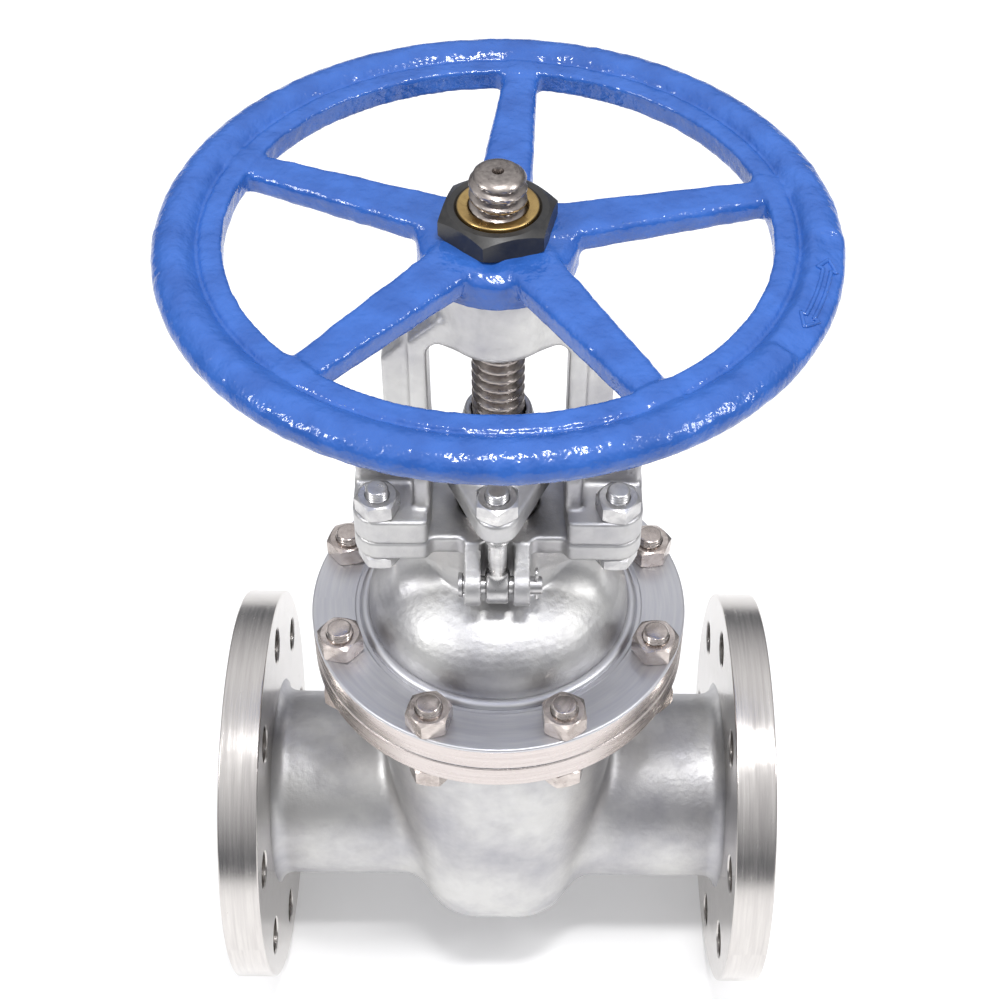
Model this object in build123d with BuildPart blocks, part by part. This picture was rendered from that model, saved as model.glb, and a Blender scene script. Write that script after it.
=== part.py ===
from build123d import *
import os
from math import cos, radians, sin, tan

os.makedirs("parts", exist_ok=True)

# A flanged outside-screw-and-yoke gate valve, millimetres. The origin is on the floor under the stem,
# X runs along the pipe, Y points to the rear and Z up the stem. It is modelled closed.

# --- Driving dimensions -------------------------------------------------------------------------
# pipe run and end flanges
bore_d = 80.0
neck_d = 94.4
flange_d = 200.0
flange_t = 19.0
raised_face_d = 138.0
raised_face_h = 3.0
face_to_face = 270.0
flange_pcd = 160.0
flange_hole_d = 18.0
flange_bolts = 8
flange_chamfer = 1.0
first_bolt_angle = 22.5
neck_fillet = 7.0
pipe_z = flange_d / 2

# wedge chamber: straight-sided below, flaring to the bonnet flange
wall = 8.0
chamber_half_x = 40.7
chamber_bottom_r = 69.0
chamber_corner_r = 22.0
chamber_top_x = 59.0
chamber_top_y = 61.5
flare_z = pipe_z + 40.0
chamber_edge_r = 15.0
cavity_top_x = 51.5
cavity_top_y = 53.0

# bonnet joint
joint_r = 86.8
body_flange_bottom_z = 222.0
body_flange_top_z = 234.0
joint_gap = 0.8
bonnet_flange_top_z = 248.0
stud_d = 12.0
stud_circle_r = 77.2
stud_hole_d = 13.5
stud_top_z = 261.6
stud_bottom_z = 209.0
stud_nut_af = 18.5
stud_nut_h = 10.0
thread_chamfer = 1.2
upper_nut_turns = (8.0, 25.0, 41.0, 12.0, 50.0, 14.0, 36.0, 3.0)
lower_nut_turns = (15.0, 40.0, 22.0, 5.0, 31.0, 52.0, 18.0, 44.0)
gasket_inner_r = 54.0
gasket_outer_r = 64.0
gasket_t = 1.5
groove_depth = 3.0
groove_play = 0.2

# seats and wedge
seat_angle = 5.0
seat_half_gap = 17.0
seat_gap = 0.03
seat_flange_r = 48.0
seat_sleeve_r = 44.0
seat_sleeve_end_x = 44.0
wedge_r = 47.0
wedge_recess_r = 38.0
wedge_recess_depth = 2.0
wedge_boss_x = 38.0
wedge_boss_y = 34.0
wedge_boss_top_z = 164.0
guide_half_x = 4.0
guide_play = 0.5
guide_inner_y = 46.3
guide_outer_y = 61.0
guide_bottom_z = 75.0
guide_top_z = 212.0
ear_half_x = 10.0
ear_outer_y = 49.5
ear_half_z = 18.0

# stem
stem_r = 11.0
stem_top_z = 490.0
stem_dome = 3.5
centre_hole_d = 3.2
centre_hole_depth = 6.0
tee_bottom_z = 148.3
tee_top_z = 157.0
tee_half_x = 12.0
tee_half_y = 9.0
tee_play = 0.2
stem_neck_r = 8.0
stem_neck_top_z = 170.0
backseat_collar_r = 15.0
backseat_collar_bottom_z = 178.0
backseat_cone_z = 186.0
running_gap = 0.06

# bonnet
dome_r = 60.0
dome_wall = 8.0
dome_start_z = 258.0
dome_mid_r = 52.0
dome_mid_z = 276.0
dome_top_r = 26.0
dome_top_z = 286.0
bead_r = 61.2
bead_tube_r = 1.9
cavity_top_r = 22.0
cavity_top_z = 274.0
box_r = 18.0
box_floor_z = 283.0
bush_r = 16.0
bush_collar_r = 19.0
bush_collar_t = 3.0
bush_cone_play = 0.4
platform_top_z = 317.0
platform_t = 10.0
platform_mid_y = 25.0
ear_x = 62.0
ear_y = 29.0
ear_inner_x = 29.5
ear_corner_r = 11.0
gusset_half_y = 9.0
gusset_outer_x = 55.0
gusset_bottom_x = 44.0
gusset_bottom_z = 270.0

# gland, packing and eyebolts
washer_t = 2.0
packing_count = 4
packing_h = 6.5
gland_r = 17.9
gland_collar_r = 20.0
gland_collar_z = 325.0
gland_flange_bottom_z = 331.5
gland_flange_top_z = 344.7
gland_recess = 2.5
gland_end_r = 9.5
gland_centre_r = 24.0
gland_hub_base_r = 20.0
gland_hub_top_r = 14.0
gland_hub_top_z = 371.0
gland_bore_play = 0.5
gland_edge_round = 1.2
eyebolt_y = 35.0
eyebolt_pin_z = 298.0
eyebolt_eye_r = 8.0
eyebolt_eye_t = 10.0
eyebolt_shank_d = 8.0
eyebolt_thread_d = 10.0
eyebolt_thread_z = 326.0
eyebolt_top_z = 357.0
eyebolt_hole_d = 11.0
m10_nut_af = 17.0
m10_nut_h = 8.4
eyebolt_nut_turn = 31.0
pin_d = 8.0
pin_head_d = 11.0
pin_head_t = 2.0
pin_tail = 4.5
cotter_d = 2.0
cotter_len = 13.0
cotter_inset = 1.6
lug_inner_x = 7.6
lug_outer_x = 15.0
lug_end_r = 9.0
lug_top_y = 29.0
lug_root_y = 14.0
lug_root_z = 292.0

# yoke
foot_t = 13.0
yoke_bolt_x = 51.0
yoke_bolt_y = 20.0
yoke_bolt_d = 10.0
yoke_bolt_hole_d = 11.0
yoke_bolt_top_z = 342.8
yoke_bolt_head_h = 6.4
yoke_nut_turns = (10.0, 47.0, 33.0, 22.0)
window_half_x = 28.5
window_top_z = 415.0
window_corner_r = 6.0
arm_outer_x = 36.0
arm_half_y = 12.0
arm_shoulder_z = 416.0
arm_top_z = 427.0
rib_half_y = 4.0
rib_outer_x = 47.5
rib_bend_z = 374.0
rib_shoulder_z = 400.0
rib_top_z = 425.0
rib_flare_mid_x = 50.9
rib_flare_mid_z = 353.0
boss_r = 23.5
boss_bottom_z = 413.0
boss_top_z = 446.0
boss_round = 6.0
boss_bore_r = 19.0
boss_floor_z = 421.0
boss_floor_hole_r = 13.0

# stem nut and its thrust washers
thrust_washer_t = 1.5
thrust_gap = 0.1
thrust_washer_play = 0.3
nut_collar_r = 18.4
nut_collar_h = 7.0
sleeve_r = 15.8
sleeve_top_z = 475.0
sleeve_chamfer = 1.0
retainer_flange_r = 22.4
retainer_flange_t = 1.4

# handwheel
wheel_azimuths = (13.5, 85.5, 157.5, 229.5, 301.5)
hub_r = 31.2
hub_flat_r = 27.0
hub_top_z = 463.0
hub_bevel_z = 460.0
hub_bottom_z = 448.6
hub_bore_gap = 0.05
spoke_top_z = 461.0
spoke_h = 12.5
spoke_hub_w = 24.0
spoke_rim_w = 19.0
spoke_draft = 8.0
spoke_start_r = 24.0
spoke_end_r = 112.0
rim_points = ((104.2, 460.0), (106.0, 461.5), (113.0, 461.5), (117.0, 465.5))
rim_crown = (124.0, 468.0)
rim_outer = (131.0, 458.0)
rim_under = ((130.4, 451.0), (127.5, 447.0), (113.0, 447.6), (104.2, 452.5))
key_w = 5.0
key_in_r = 13.6
key_out_r = 18.2
key_bottom_z = 449.0
key_top_z = 462.0
wheel_nut_af = 41.0
wheel_nut_h = 11.0
wheel_nut_turn = 17.0

# --- Worked out from the above ------------------------------------------------------------------
pipe_axis = Axis((0, 0, pipe_z), (1, 0, 0))
raised_face_x = face_to_face / 2
flange_face_x = raised_face_x - raised_face_h
flange_back_x = flange_face_x - flange_t
neck_r = neck_d / 2
bore_r = bore_d / 2
wedge_slope = tan(radians(seat_angle))
bonnet_bottom_z = body_flange_top_z + joint_gap
tongue_bottom_z = body_flange_top_z - groove_depth + gasket_t
platform_bottom_z = platform_top_z - platform_t
foot_top_z = platform_top_z + foot_t
packing_start_z = box_floor_z + washer_t
packing_top_z = packing_start_z + packing_count * packing_h
washer_top_z = boss_floor_z + thrust_washer_t
nut_collar_top_z = washer_top_z + thrust_gap + nut_collar_h
retainer_bottom_z = nut_collar_top_z + thrust_gap + thrust_washer_t
cotter_x = lug_outer_x + pin_tail - cotter_inset - cotter_d / 2
arc_corner = 1 - cos(radians(45))
eps = 1.0


# --- Shared pieces ------------------------------------------------------------------------------
def hex_nut(across_flats, height, bore):
    """A hex nut standing on z = 0 whose corners are turned off at both ends."""
    corner_r = across_flats / 2 / cos(radians(30))
    with BuildPart() as nut:
        Cylinder(corner_r, height, align=(Align.CENTER, Align.CENTER, Align.MIN))
        chamfer(nut.edges(), length=0.06 * across_flats, length2=0.1 * across_flats)
        with BuildSketch():
            RegularPolygon(across_flats / 2, 6, major_radius=False)
        extrude(amount=height, mode=Mode.INTERSECT)
        with BuildSketch():
            Circle(bore / 2)
        extrude(amount=height, mode=Mode.SUBTRACT)
    return nut.part


def rod(radius, bottom_z, top_z, end_chamfer):
    """A straight rod along Z with both ends chamfered."""
    with BuildPart() as bar:
        with BuildSketch(Plane.XY.offset(bottom_z)):
            Circle(radius)
        extrude(amount=top_z - bottom_z)
        chamfer(bar.edges(), length=end_chamfer)
    return bar.part


def ring(inner_r, outer_r, bottom_z, top_z):
    """A plain ring round the stem."""
    with BuildPart() as plain_ring:
        with BuildSketch(Plane.XY.offset(bottom_z)):
            Circle(outer_r)
            Circle(inner_r, mode=Mode.SUBTRACT)
        extrude(amount=top_z - bottom_z)
    return plain_ring.part


def stud_places(height, turns):
    """The eight stud places on the bonnet joint, each turned about Z by its own angle."""
    places = []
    for index, turn in enumerate(turns):
        angle = radians(first_bolt_angle + index * 360 / len(turns))
        x = stud_circle_r * cos(angle)
        y = stud_circle_r * sin(angle)
        places.append(Location((x, y, height), (0, 0, turn)))
    return places


def yoke_bolt_places(height, turns):
    """The four yoke bolt places, each turned about Z by its own angle."""
    corners = ((-1, -1), (1, -1), (1, 1), (-1, 1))
    places = []
    for (side, end), turn in zip(corners, turns):
        places.append(Location((side * yoke_bolt_x, end * yoke_bolt_y, height), (0, 0, turn)))
    return places


def circle_of(edge, radius):
    """Whether an edge is a circle of this radius."""
    return edge.geom_type == GeomType.CIRCLE and abs(edge.radius - radius) < 0.01


def save(piece, name):
    """Label a finished piece and write its file."""
    piece.label = name
    export_step(piece, f"parts/{name}.step")


# --- Body ---------------------------------------------------------------------------------------
def chamber(half_x, bottom_r, corner_r, top_x, top_y, top_z):
    """The wedge chamber, solid: a drum across the pipe, then straight walls that flare to the top."""
    with BuildPart() as pot:
        with BuildSketch(Plane.YZ.offset(-half_x)):
            with Locations((0, pipe_z)):
                Circle(bottom_r)
        extrude(amount=2 * half_x)
        fillet(pot.edges(), chamber_edge_r - chamber_corner_r + corner_r)
        with BuildSketch(Plane.XY.offset(pipe_z)):
            RectangleRounded(2 * half_x, 2 * bottom_r, corner_r)
        extrude(amount=flare_z - pipe_z)
        with BuildSketch(Plane.XY.offset(flare_z)):
            RectangleRounded(2 * half_x, 2 * bottom_r, corner_r)
        with BuildSketch(Plane.XY.offset(top_z)):
            RectangleRounded(2 * top_x, 2 * top_y, min(top_x, top_y) - eps)
        loft()
    return pot.part


chamber_outside = chamber(
    chamber_half_x, chamber_bottom_r, chamber_corner_r,
    chamber_top_x, chamber_top_y, body_flange_bottom_z,
)
chamber_inside = chamber(
    chamber_half_x - wall, chamber_bottom_r - wall, chamber_corner_r - wall,
    cavity_top_x, cavity_top_y, body_flange_top_z,
)

with BuildPart() as body:
    # end flanges and necks, turned about the pipe's axis
    with BuildSketch(Plane.XZ):
        with BuildLine():
            Polyline(
                (-raised_face_x, pipe_z),
                (-raised_face_x, pipe_z + raised_face_d / 2),
                (-flange_face_x, pipe_z + raised_face_d / 2),
                (-flange_face_x, pipe_z + flange_d / 2),
                (-flange_back_x, pipe_z + flange_d / 2),
                (-flange_back_x, pipe_z + neck_r),
                (flange_back_x, pipe_z + neck_r),
                (flange_back_x, pipe_z + flange_d / 2),
                (flange_face_x, pipe_z + flange_d / 2),
                (flange_face_x, pipe_z + raised_face_d / 2),
                (raised_face_x, pipe_z + raised_face_d / 2),
                (raised_face_x, pipe_z),
                close=True,
            )
        make_face()
    revolve(axis=pipe_axis)
    chamfer(body.edges().filter_by(lambda edge: circle_of(edge, flange_d / 2)), length=flange_chamfer)
    fillet(body.edges().filter_by(lambda edge: circle_of(edge, neck_r)), neck_fillet)
    # bonnet flange with its gasket groove
    add(chamber_outside)
    with BuildSketch(Plane.XY.offset(body_flange_bottom_z)):
        Circle(joint_r)
    extrude(amount=body_flange_top_z - body_flange_bottom_z)
    with BuildSketch(Plane.XY.offset(body_flange_top_z)):
        Circle(gasket_outer_r + groove_play)
        Circle(gasket_inner_r - groove_play, mode=Mode.SUBTRACT)
    extrude(amount=-groove_depth, mode=Mode.SUBTRACT)
    # wedge chamber and the rails that guide the wedge
    add(chamber_inside, mode=Mode.SUBTRACT)
    for side in (-1, 1):
        with BuildSketch(Plane.XY.offset(guide_bottom_z)):
            with Locations((0, side * (guide_inner_y + guide_outer_y) / 2)):
                Rectangle(2 * guide_half_x, guide_outer_y - guide_inner_y)
        extrude(amount=guide_top_z - guide_bottom_z)
    # bore and seat ring pockets
    with BuildSketch(Plane.YZ):
        with Locations((0, pipe_z)):
            Circle(bore_r)
    extrude(amount=raised_face_x, both=True, mode=Mode.SUBTRACT)
    with BuildSketch(Plane.YZ):
        with Locations((0, pipe_z)):
            Circle(seat_sleeve_r)
    extrude(amount=seat_sleeve_end_x, both=True, mode=Mode.SUBTRACT)
    # bolt holes
    for side in (-1, 1):
        with BuildSketch(Plane.YZ.offset(side * flange_back_x)):
            with Locations((0, pipe_z)):
                with PolarLocations(flange_pcd / 2, flange_bolts, start_angle=first_bolt_angle):
                    Circle(flange_hole_d / 2)
        extrude(amount=side * flange_t, mode=Mode.SUBTRACT)
    with BuildSketch(Plane.XY.offset(body_flange_bottom_z)):
        with PolarLocations(stud_circle_r, flange_bolts, start_angle=first_bolt_angle):
            Circle(stud_hole_d / 2)
    extrude(amount=body_flange_top_z - body_flange_bottom_z, mode=Mode.SUBTRACT)
save(body.part, "body")


# --- Seat rings and wedge -----------------------------------------------------------------------
for side, side_name in ((-1, "left"), (1, "right")):
    seat_plane = Plane(origin=(side * seat_half_gap, 0, pipe_z), z_dir=(side, 0, -wedge_slope))
    with BuildPart() as seat_ring:
        with BuildSketch(Plane.YZ):
            with Locations((0, pipe_z)):
                Circle(seat_flange_r)
        extrude(amount=side * (chamber_half_x - wall))
        with BuildSketch(Plane.YZ):
            with Locations((0, pipe_z)):
                Circle(seat_sleeve_r)
        extrude(amount=side * seat_sleeve_end_x)
        with BuildSketch(Plane.YZ):
            with Locations((0, pipe_z)):
                Circle(bore_r)
        extrude(amount=side * raised_face_x, mode=Mode.SUBTRACT)
        split(bisect_by=seat_plane, keep=Keep.TOP)
    save(seat_ring.part, f"seat_ring_{side_name}")

with BuildPart() as wedge:
    with BuildSketch(Plane.YZ):
        with Locations((0, pipe_z)):
            Circle(wedge_r)
    extrude(amount=chamber_half_x, both=True)
    for side in (-1, 1):
        with BuildSketch(Plane.XY.offset(pipe_z - ear_half_z)):
            with Locations((0, side * ear_outer_y / 2)):
                Rectangle(2 * ear_half_x, ear_outer_y)
        extrude(amount=2 * ear_half_z)
    face_x = seat_half_gap - seat_gap
    for side in (-1, 1):
        face_plane = Plane(origin=(side * face_x, 0, pipe_z), z_dir=(side, 0, -wedge_slope))
        split(bisect_by=face_plane, keep=Keep.BOTTOM)
        with BuildSketch(face_plane):
            Circle(wedge_recess_r)
        extrude(amount=-wedge_recess_depth, mode=Mode.SUBTRACT)
    with BuildSketch(Plane.XY.offset(pipe_z + wedge_r / 2)):
        RectangleRounded(wedge_boss_x, wedge_boss_y, ear_half_x / 2)
    extrude(amount=wedge_boss_top_z - pipe_z - wedge_r / 2)
    # slot for the stem's tee, open to the front and rear
    with BuildSketch(Plane.XZ):
        with Locations((0, (tee_bottom_z + tee_top_z) / 2)):
            Rectangle(2 * (tee_half_x + tee_play), tee_top_z - tee_bottom_z + 2 * tee_play)
        with Locations((0, (tee_top_z + wedge_boss_top_z) / 2)):
            Rectangle(2 * (stem_neck_r + tee_play), wedge_boss_top_z - tee_top_z + tee_play)
    extrude(amount=wedge_boss_y, both=True, mode=Mode.SUBTRACT)
    # grooves that slide on the body's rails
    for side in (-1, 1):
        with BuildSketch(Plane.XY):
            with Locations((0, side * (guide_inner_y - guide_play + ear_outer_y) / 2)):
                Rectangle(2 * (guide_half_x + guide_play), ear_outer_y - guide_inner_y + guide_play)
        extrude(amount=guide_top_z, mode=Mode.SUBTRACT)
save(wedge.part, "wedge")


# --- Stem ---------------------------------------------------------------------------------------
with BuildPart() as stem:
    with BuildSketch(Plane.XZ):
        with BuildLine():
            shank = Polyline(
                (0, tee_bottom_z + eps),
                (stem_neck_r, tee_bottom_z + eps),
                (stem_neck_r, stem_neck_top_z),
                (stem_r, stem_neck_top_z + stem_r - stem_neck_r),
                (stem_r, backseat_collar_bottom_z),
                (backseat_collar_r, backseat_collar_bottom_z),
                (backseat_collar_r, backseat_cone_z),
                (stem_r, backseat_cone_z + backseat_collar_r - stem_r),
                (stem_r, stem_top_z - stem_dome),
            )
            dome = ThreePointArc(
                shank @ 1, (stem_r / 2, stem_top_z - stem_dome / 4), (0, stem_top_z)
            )
            Line(dome @ 1, shank @ 0)
        make_face()
    revolve(axis=Axis.Z)
    with BuildSketch(Plane.XY.offset(tee_bottom_z)):
        Rectangle(2 * tee_half_x, 2 * tee_half_y)
    extrude(amount=tee_top_z - tee_bottom_z)
    with BuildSketch(Plane.XY.offset(stem_top_z)):
        Circle(centre_hole_d / 2)
    extrude(amount=-centre_hole_depth, mode=Mode.SUBTRACT)
save(stem.part, "stem")


# --- Bonnet joint -------------------------------------------------------------------------------
save(ring(gasket_inner_r, gasket_outer_r, tongue_bottom_z - gasket_t, tongue_bottom_z), "bonnet_gasket")

stud = rod(stud_d / 2, stud_bottom_z, stud_top_z, thread_chamfer)
with BuildPart() as bonnet_studs:
    with Locations(*stud_places(0, (0,) * flange_bolts)):
        add(stud)
save(bonnet_studs.part, "bonnet_studs")

stud_nut = hex_nut(stud_nut_af, stud_nut_h, stud_d)
with BuildPart() as bonnet_nuts_upper:
    with Locations(*stud_places(bonnet_flange_top_z, upper_nut_turns)):
        add(stud_nut)
save(bonnet_nuts_upper.part, "bonnet_nuts_upper")

with BuildPart() as bonnet_nuts_lower:
    with Locations(*stud_places(body_flange_bottom_z - stud_nut_h, lower_nut_turns)):
        add(stud_nut)
save(bonnet_nuts_lower.part, "bonnet_nuts_lower")


# --- Bonnet -------------------------------------------------------------------------------------
with BuildPart() as bonnet:
    # flange, tongue, dome and stuffing box neck, turned about the stem
    with BuildSketch(Plane.XZ):
        with BuildLine():
            flange_line = Polyline(
                (0, bonnet_bottom_z),
                (gasket_inner_r, bonnet_bottom_z),
                (gasket_inner_r, tongue_bottom_z),
                (gasket_outer_r, tongue_bottom_z),
                (gasket_outer_r, bonnet_bottom_z),
                (joint_r, bonnet_bottom_z),
                (joint_r, bonnet_flange_top_z),
                (dome_r, bonnet_flange_top_z),
                (dome_r, dome_start_z),
            )
            dome_line = ThreePointArc(flange_line @ 1, (dome_mid_r, dome_mid_z), (dome_top_r, dome_top_z))
            Polyline(dome_line @ 1, (dome_top_r, platform_top_z), (0, platform_top_z), flange_line @ 0)
        make_face()
    revolve(axis=Axis.Z)
    with BuildSketch(Plane.XZ):
        with Locations((bead_r, bonnet_flange_top_z)):
            Circle(bead_tube_r)
    revolve(axis=Axis.Z)
    # platform with an ear at each side for the yoke's feet
    with BuildSketch(Plane.XY.offset(platform_bottom_z)):
        Rectangle(2 * ear_inner_x, 2 * platform_mid_y)
        for side in (-1, 1):
            with Locations((side * (ear_inner_x + ear_x) / 2, 0)):
                RectangleRounded(ear_x - ear_inner_x, 2 * ear_y, ear_corner_r)
            with Locations((side * (ear_inner_x + ear_corner_r), 0)):
                Rectangle(2 * ear_corner_r, 2 * ear_y)
    extrude(amount=platform_t)
    # web under each ear
    with BuildSketch(Plane.XZ):
        with BuildLine():
            Polyline(
                (-gusset_outer_x, platform_bottom_z + eps),
                (-gusset_bottom_x, gusset_bottom_z),
                (gusset_bottom_x, gusset_bottom_z),
                (gusset_outer_x, platform_bottom_z + eps),
                close=True,
            )
        make_face()
    extrude(amount=gusset_half_y, both=True)
    # a pair of lugs at the front and at the rear holds each eyebolt's pin
    for side in (-1, 1):
        for end in (-1, 1):
            with BuildSketch(Plane.YZ.offset(side * (lug_inner_x + lug_outer_x) / 2)):
                with Locations((end * eyebolt_y, eyebolt_pin_z)):
                    Circle(lug_end_r)
                with Locations((end * (lug_top_y - eps), platform_top_z - eps)):
                    Circle(eps)
                with Locations((end * lug_root_y, platform_top_z - eps)):
                    Circle(eps)
                with Locations((end * lug_root_y, lug_root_z)):
                    Circle(eps)
                make_hull()
            extrude(amount=(lug_outer_x - lug_inner_x) / 2, both=True)
    # inside: cavity over the raised wedge, backseat pocket and stuffing box
    with BuildSketch(Plane.XZ):
        with BuildLine():
            cavity_wall = Polyline(
                (0, tongue_bottom_z - eps),
                (gasket_inner_r - dome_wall / 4, tongue_bottom_z - eps),
                (dome_r - dome_wall, dome_start_z),
            )
            cavity_arc = ThreePointArc(
                cavity_wall @ 1,
                (dome_mid_r - dome_wall, dome_mid_z - dome_wall),
                (cavity_top_r, cavity_top_z),
            )
            Polyline(cavity_arc @ 1, (0, cavity_top_z), cavity_wall @ 0)
        make_face()
    revolve(axis=Axis.Z, mode=Mode.SUBTRACT)
    with BuildSketch(Plane.XY.offset(cavity_top_z - eps)):
        Circle(bush_r)
    extrude(amount=box_floor_z - cavity_top_z + 2 * eps, mode=Mode.SUBTRACT)
    with BuildSketch(Plane.XY.offset(box_floor_z)):
        Circle(box_r)
    extrude(amount=platform_top_z - box_floor_z, mode=Mode.SUBTRACT)
    # holes for studs, yoke bolts and eyebolt pins
    with BuildSketch(Plane.XY.offset(bonnet_bottom_z)):
        with PolarLocations(stud_circle_r, flange_bolts, start_angle=first_bolt_angle):
            Circle(stud_hole_d / 2)
    extrude(amount=bonnet_flange_top_z - bonnet_bottom_z, mode=Mode.SUBTRACT)
    with BuildSketch(Plane.XY.offset(platform_bottom_z)):
        with GridLocations(2 * yoke_bolt_x, 2 * yoke_bolt_y, 2, 2):
            Circle(yoke_bolt_hole_d / 2)
    extrude(amount=platform_t, mode=Mode.SUBTRACT)
    with BuildSketch(Plane.YZ):
        with Locations((-eyebolt_y, eyebolt_pin_z), (eyebolt_y, eyebolt_pin_z)):
            Circle(pin_d / 2)
    extrude(amount=lug_outer_x + eps, both=True, mode=Mode.SUBTRACT)
save(bonnet.part, "bonnet")

with BuildPart() as backseat_bush:
    with BuildSketch(Plane.XZ):
        with BuildLine():
            Polyline(
                (stem_r + running_gap, box_floor_z),
                (bush_r, box_floor_z),
                (bush_r, cavity_top_z),
                (bush_collar_r, cavity_top_z),
                (bush_collar_r, cavity_top_z - bush_collar_t),
                (backseat_collar_r + bush_cone_play, cavity_top_z - bush_collar_t),
                (stem_r + running_gap, cavity_top_z - bush_collar_t + backseat_collar_r
                 + bush_cone_play - stem_r - running_gap),
                close=True,
            )
        make_face()
    revolve(axis=Axis.Z)
save(backseat_bush.part, "backseat_bush")


# --- Packing and gland --------------------------------------------------------------------------
save(ring(stem_r + running_gap, box_r, box_floor_z, packing_start_z), "packing_washer")
for index in range(packing_count):
    ring_bottom_z = packing_start_z + index * packing_h
    packing_ring = ring(stem_r + running_gap, box_r, ring_bottom_z, ring_bottom_z + packing_h)
    save(packing_ring, f"packing_ring_{index + 1}")

with BuildPart() as gland:
    with BuildSketch(Plane.XZ):
        with BuildLine():
            Polyline(
                (stem_r + running_gap, packing_top_z),
                (gland_r, packing_top_z),
                (gland_r, gland_collar_z),
                (gland_collar_r, gland_collar_z),
                (gland_collar_r, gland_flange_bottom_z + gland_recess),
                (stem_r + running_gap, gland_flange_bottom_z + gland_recess),
                close=True,
            )
        make_face()
    revolve(axis=Axis.Z)
save(gland.part, "gland")

with BuildPart() as gland_flange:
    with BuildSketch(Plane.XY.offset(gland_flange_bottom_z)):
        Circle(gland_centre_r)
        with Locations((0, -eyebolt_y), (0, eyebolt_y)):
            Circle(gland_end_r)
        make_hull()
    extrude(amount=gland_flange_top_z - gland_flange_bottom_z)
    fillet(gland_flange.edges(), gland_edge_round)
    with BuildSketch(Plane.XZ):
        with BuildLine():
            Polyline(
                (0, gland_flange_bottom_z),
                (gland_hub_base_r, gland_flange_bottom_z),
                (gland_hub_base_r, gland_flange_top_z),
                (gland_hub_top_r, gland_hub_top_z),
                (0, gland_hub_top_z),
                close=True,
            )
        make_face()
    revolve(axis=Axis.Z)
    with BuildSketch(Plane.XY.offset(gland_flange_bottom_z)):
        Circle(gland_collar_r + groove_play)
    extrude(amount=gland_recess, mode=Mode.SUBTRACT)
    with BuildSketch(Plane.XY.offset(gland_flange_bottom_z)):
        Circle(stem_r + gland_bore_play)
    extrude(amount=gland_hub_top_z - gland_flange_bottom_z, mode=Mode.SUBTRACT)
    with BuildSketch(Plane.XY.offset(gland_flange_bottom_z)):
        with Locations((0, -eyebolt_y), (0, eyebolt_y)):
            Circle(eyebolt_hole_d / 2)
    extrude(amount=gland_flange_top_z - gland_flange_bottom_z, mode=Mode.SUBTRACT)
save(gland_flange.part, "gland_flange")

gland_nut = hex_nut(m10_nut_af, m10_nut_h, eyebolt_thread_d)
for end, end_name in ((-1, "front"), (1, "rear")):
    with BuildPart() as eyebolt:
        with BuildSketch(Plane.YZ):
            with Locations((end * eyebolt_y, eyebolt_pin_z)):
                Circle(eyebolt_eye_r)
        extrude(amount=eyebolt_eye_t / 2, both=True)
        with BuildSketch(Plane.XY.offset(eyebolt_pin_z)):
            with Locations((0, end * eyebolt_y)):
                Circle(eyebolt_shank_d / 2)
        extrude(amount=eyebolt_thread_z - eyebolt_pin_z)
        with BuildSketch(Plane.XY.offset(eyebolt_thread_z)):
            with Locations((0, end * eyebolt_y)):
                Circle(eyebolt_thread_d / 2)
        extrude(amount=eyebolt_top_z - eyebolt_thread_z)
        chamfer(eyebolt.edges().group_by(Axis.Z)[-1], length=thread_chamfer)
        with BuildSketch(Plane.YZ):
            with Locations((end * eyebolt_y, eyebolt_pin_z)):
                Circle(pin_d / 2)
        extrude(amount=eyebolt_eye_t, both=True, mode=Mode.SUBTRACT)
    save(eyebolt.part, f"eyebolt_{end_name}")

    with BuildPart() as eyebolt_pin:
        with BuildSketch(Plane.YZ.offset(-lug_outer_x)):
            with Locations((end * eyebolt_y, eyebolt_pin_z)):
                Circle(pin_head_d / 2)
        extrude(amount=-pin_head_t)
        with BuildSketch(Plane.YZ.offset(-lug_outer_x)):
            with Locations((end * eyebolt_y, eyebolt_pin_z)):
                Circle(pin_d / 2)
        extrude(amount=2 * lug_outer_x + pin_tail)
        with BuildSketch(Plane.XY.offset(eyebolt_pin_z)):
            with Locations((cotter_x, end * eyebolt_y)):
                Circle(cotter_d / 2)
        extrude(amount=pin_d, both=True, mode=Mode.SUBTRACT)
    save(eyebolt_pin.part, f"eyebolt_pin_{end_name}")

    with BuildPart() as cotter:
        with BuildSketch(Plane.XY.offset(eyebolt_pin_z - cotter_len / 2)):
            with Locations((cotter_x, end * eyebolt_y)):
                Circle(cotter_d / 2)
        extrude(amount=cotter_len)
        with Locations((cotter_x, end * eyebolt_y, eyebolt_pin_z + cotter_len / 2 + cotter_d / 2)):
            Torus(cotter_d, cotter_d / 2, rotation=(0, 90, 0))
    save(cotter.part, f"cotter_{end_name}")

    with BuildPart() as eyebolt_nut:
        with Locations(Location((0, end * eyebolt_y, gland_flange_top_z), (0, 0, eyebolt_nut_turn))):
            add(gland_nut)
    save(eyebolt_nut.part, f"eyebolt_nut_{end_name}")


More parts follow.
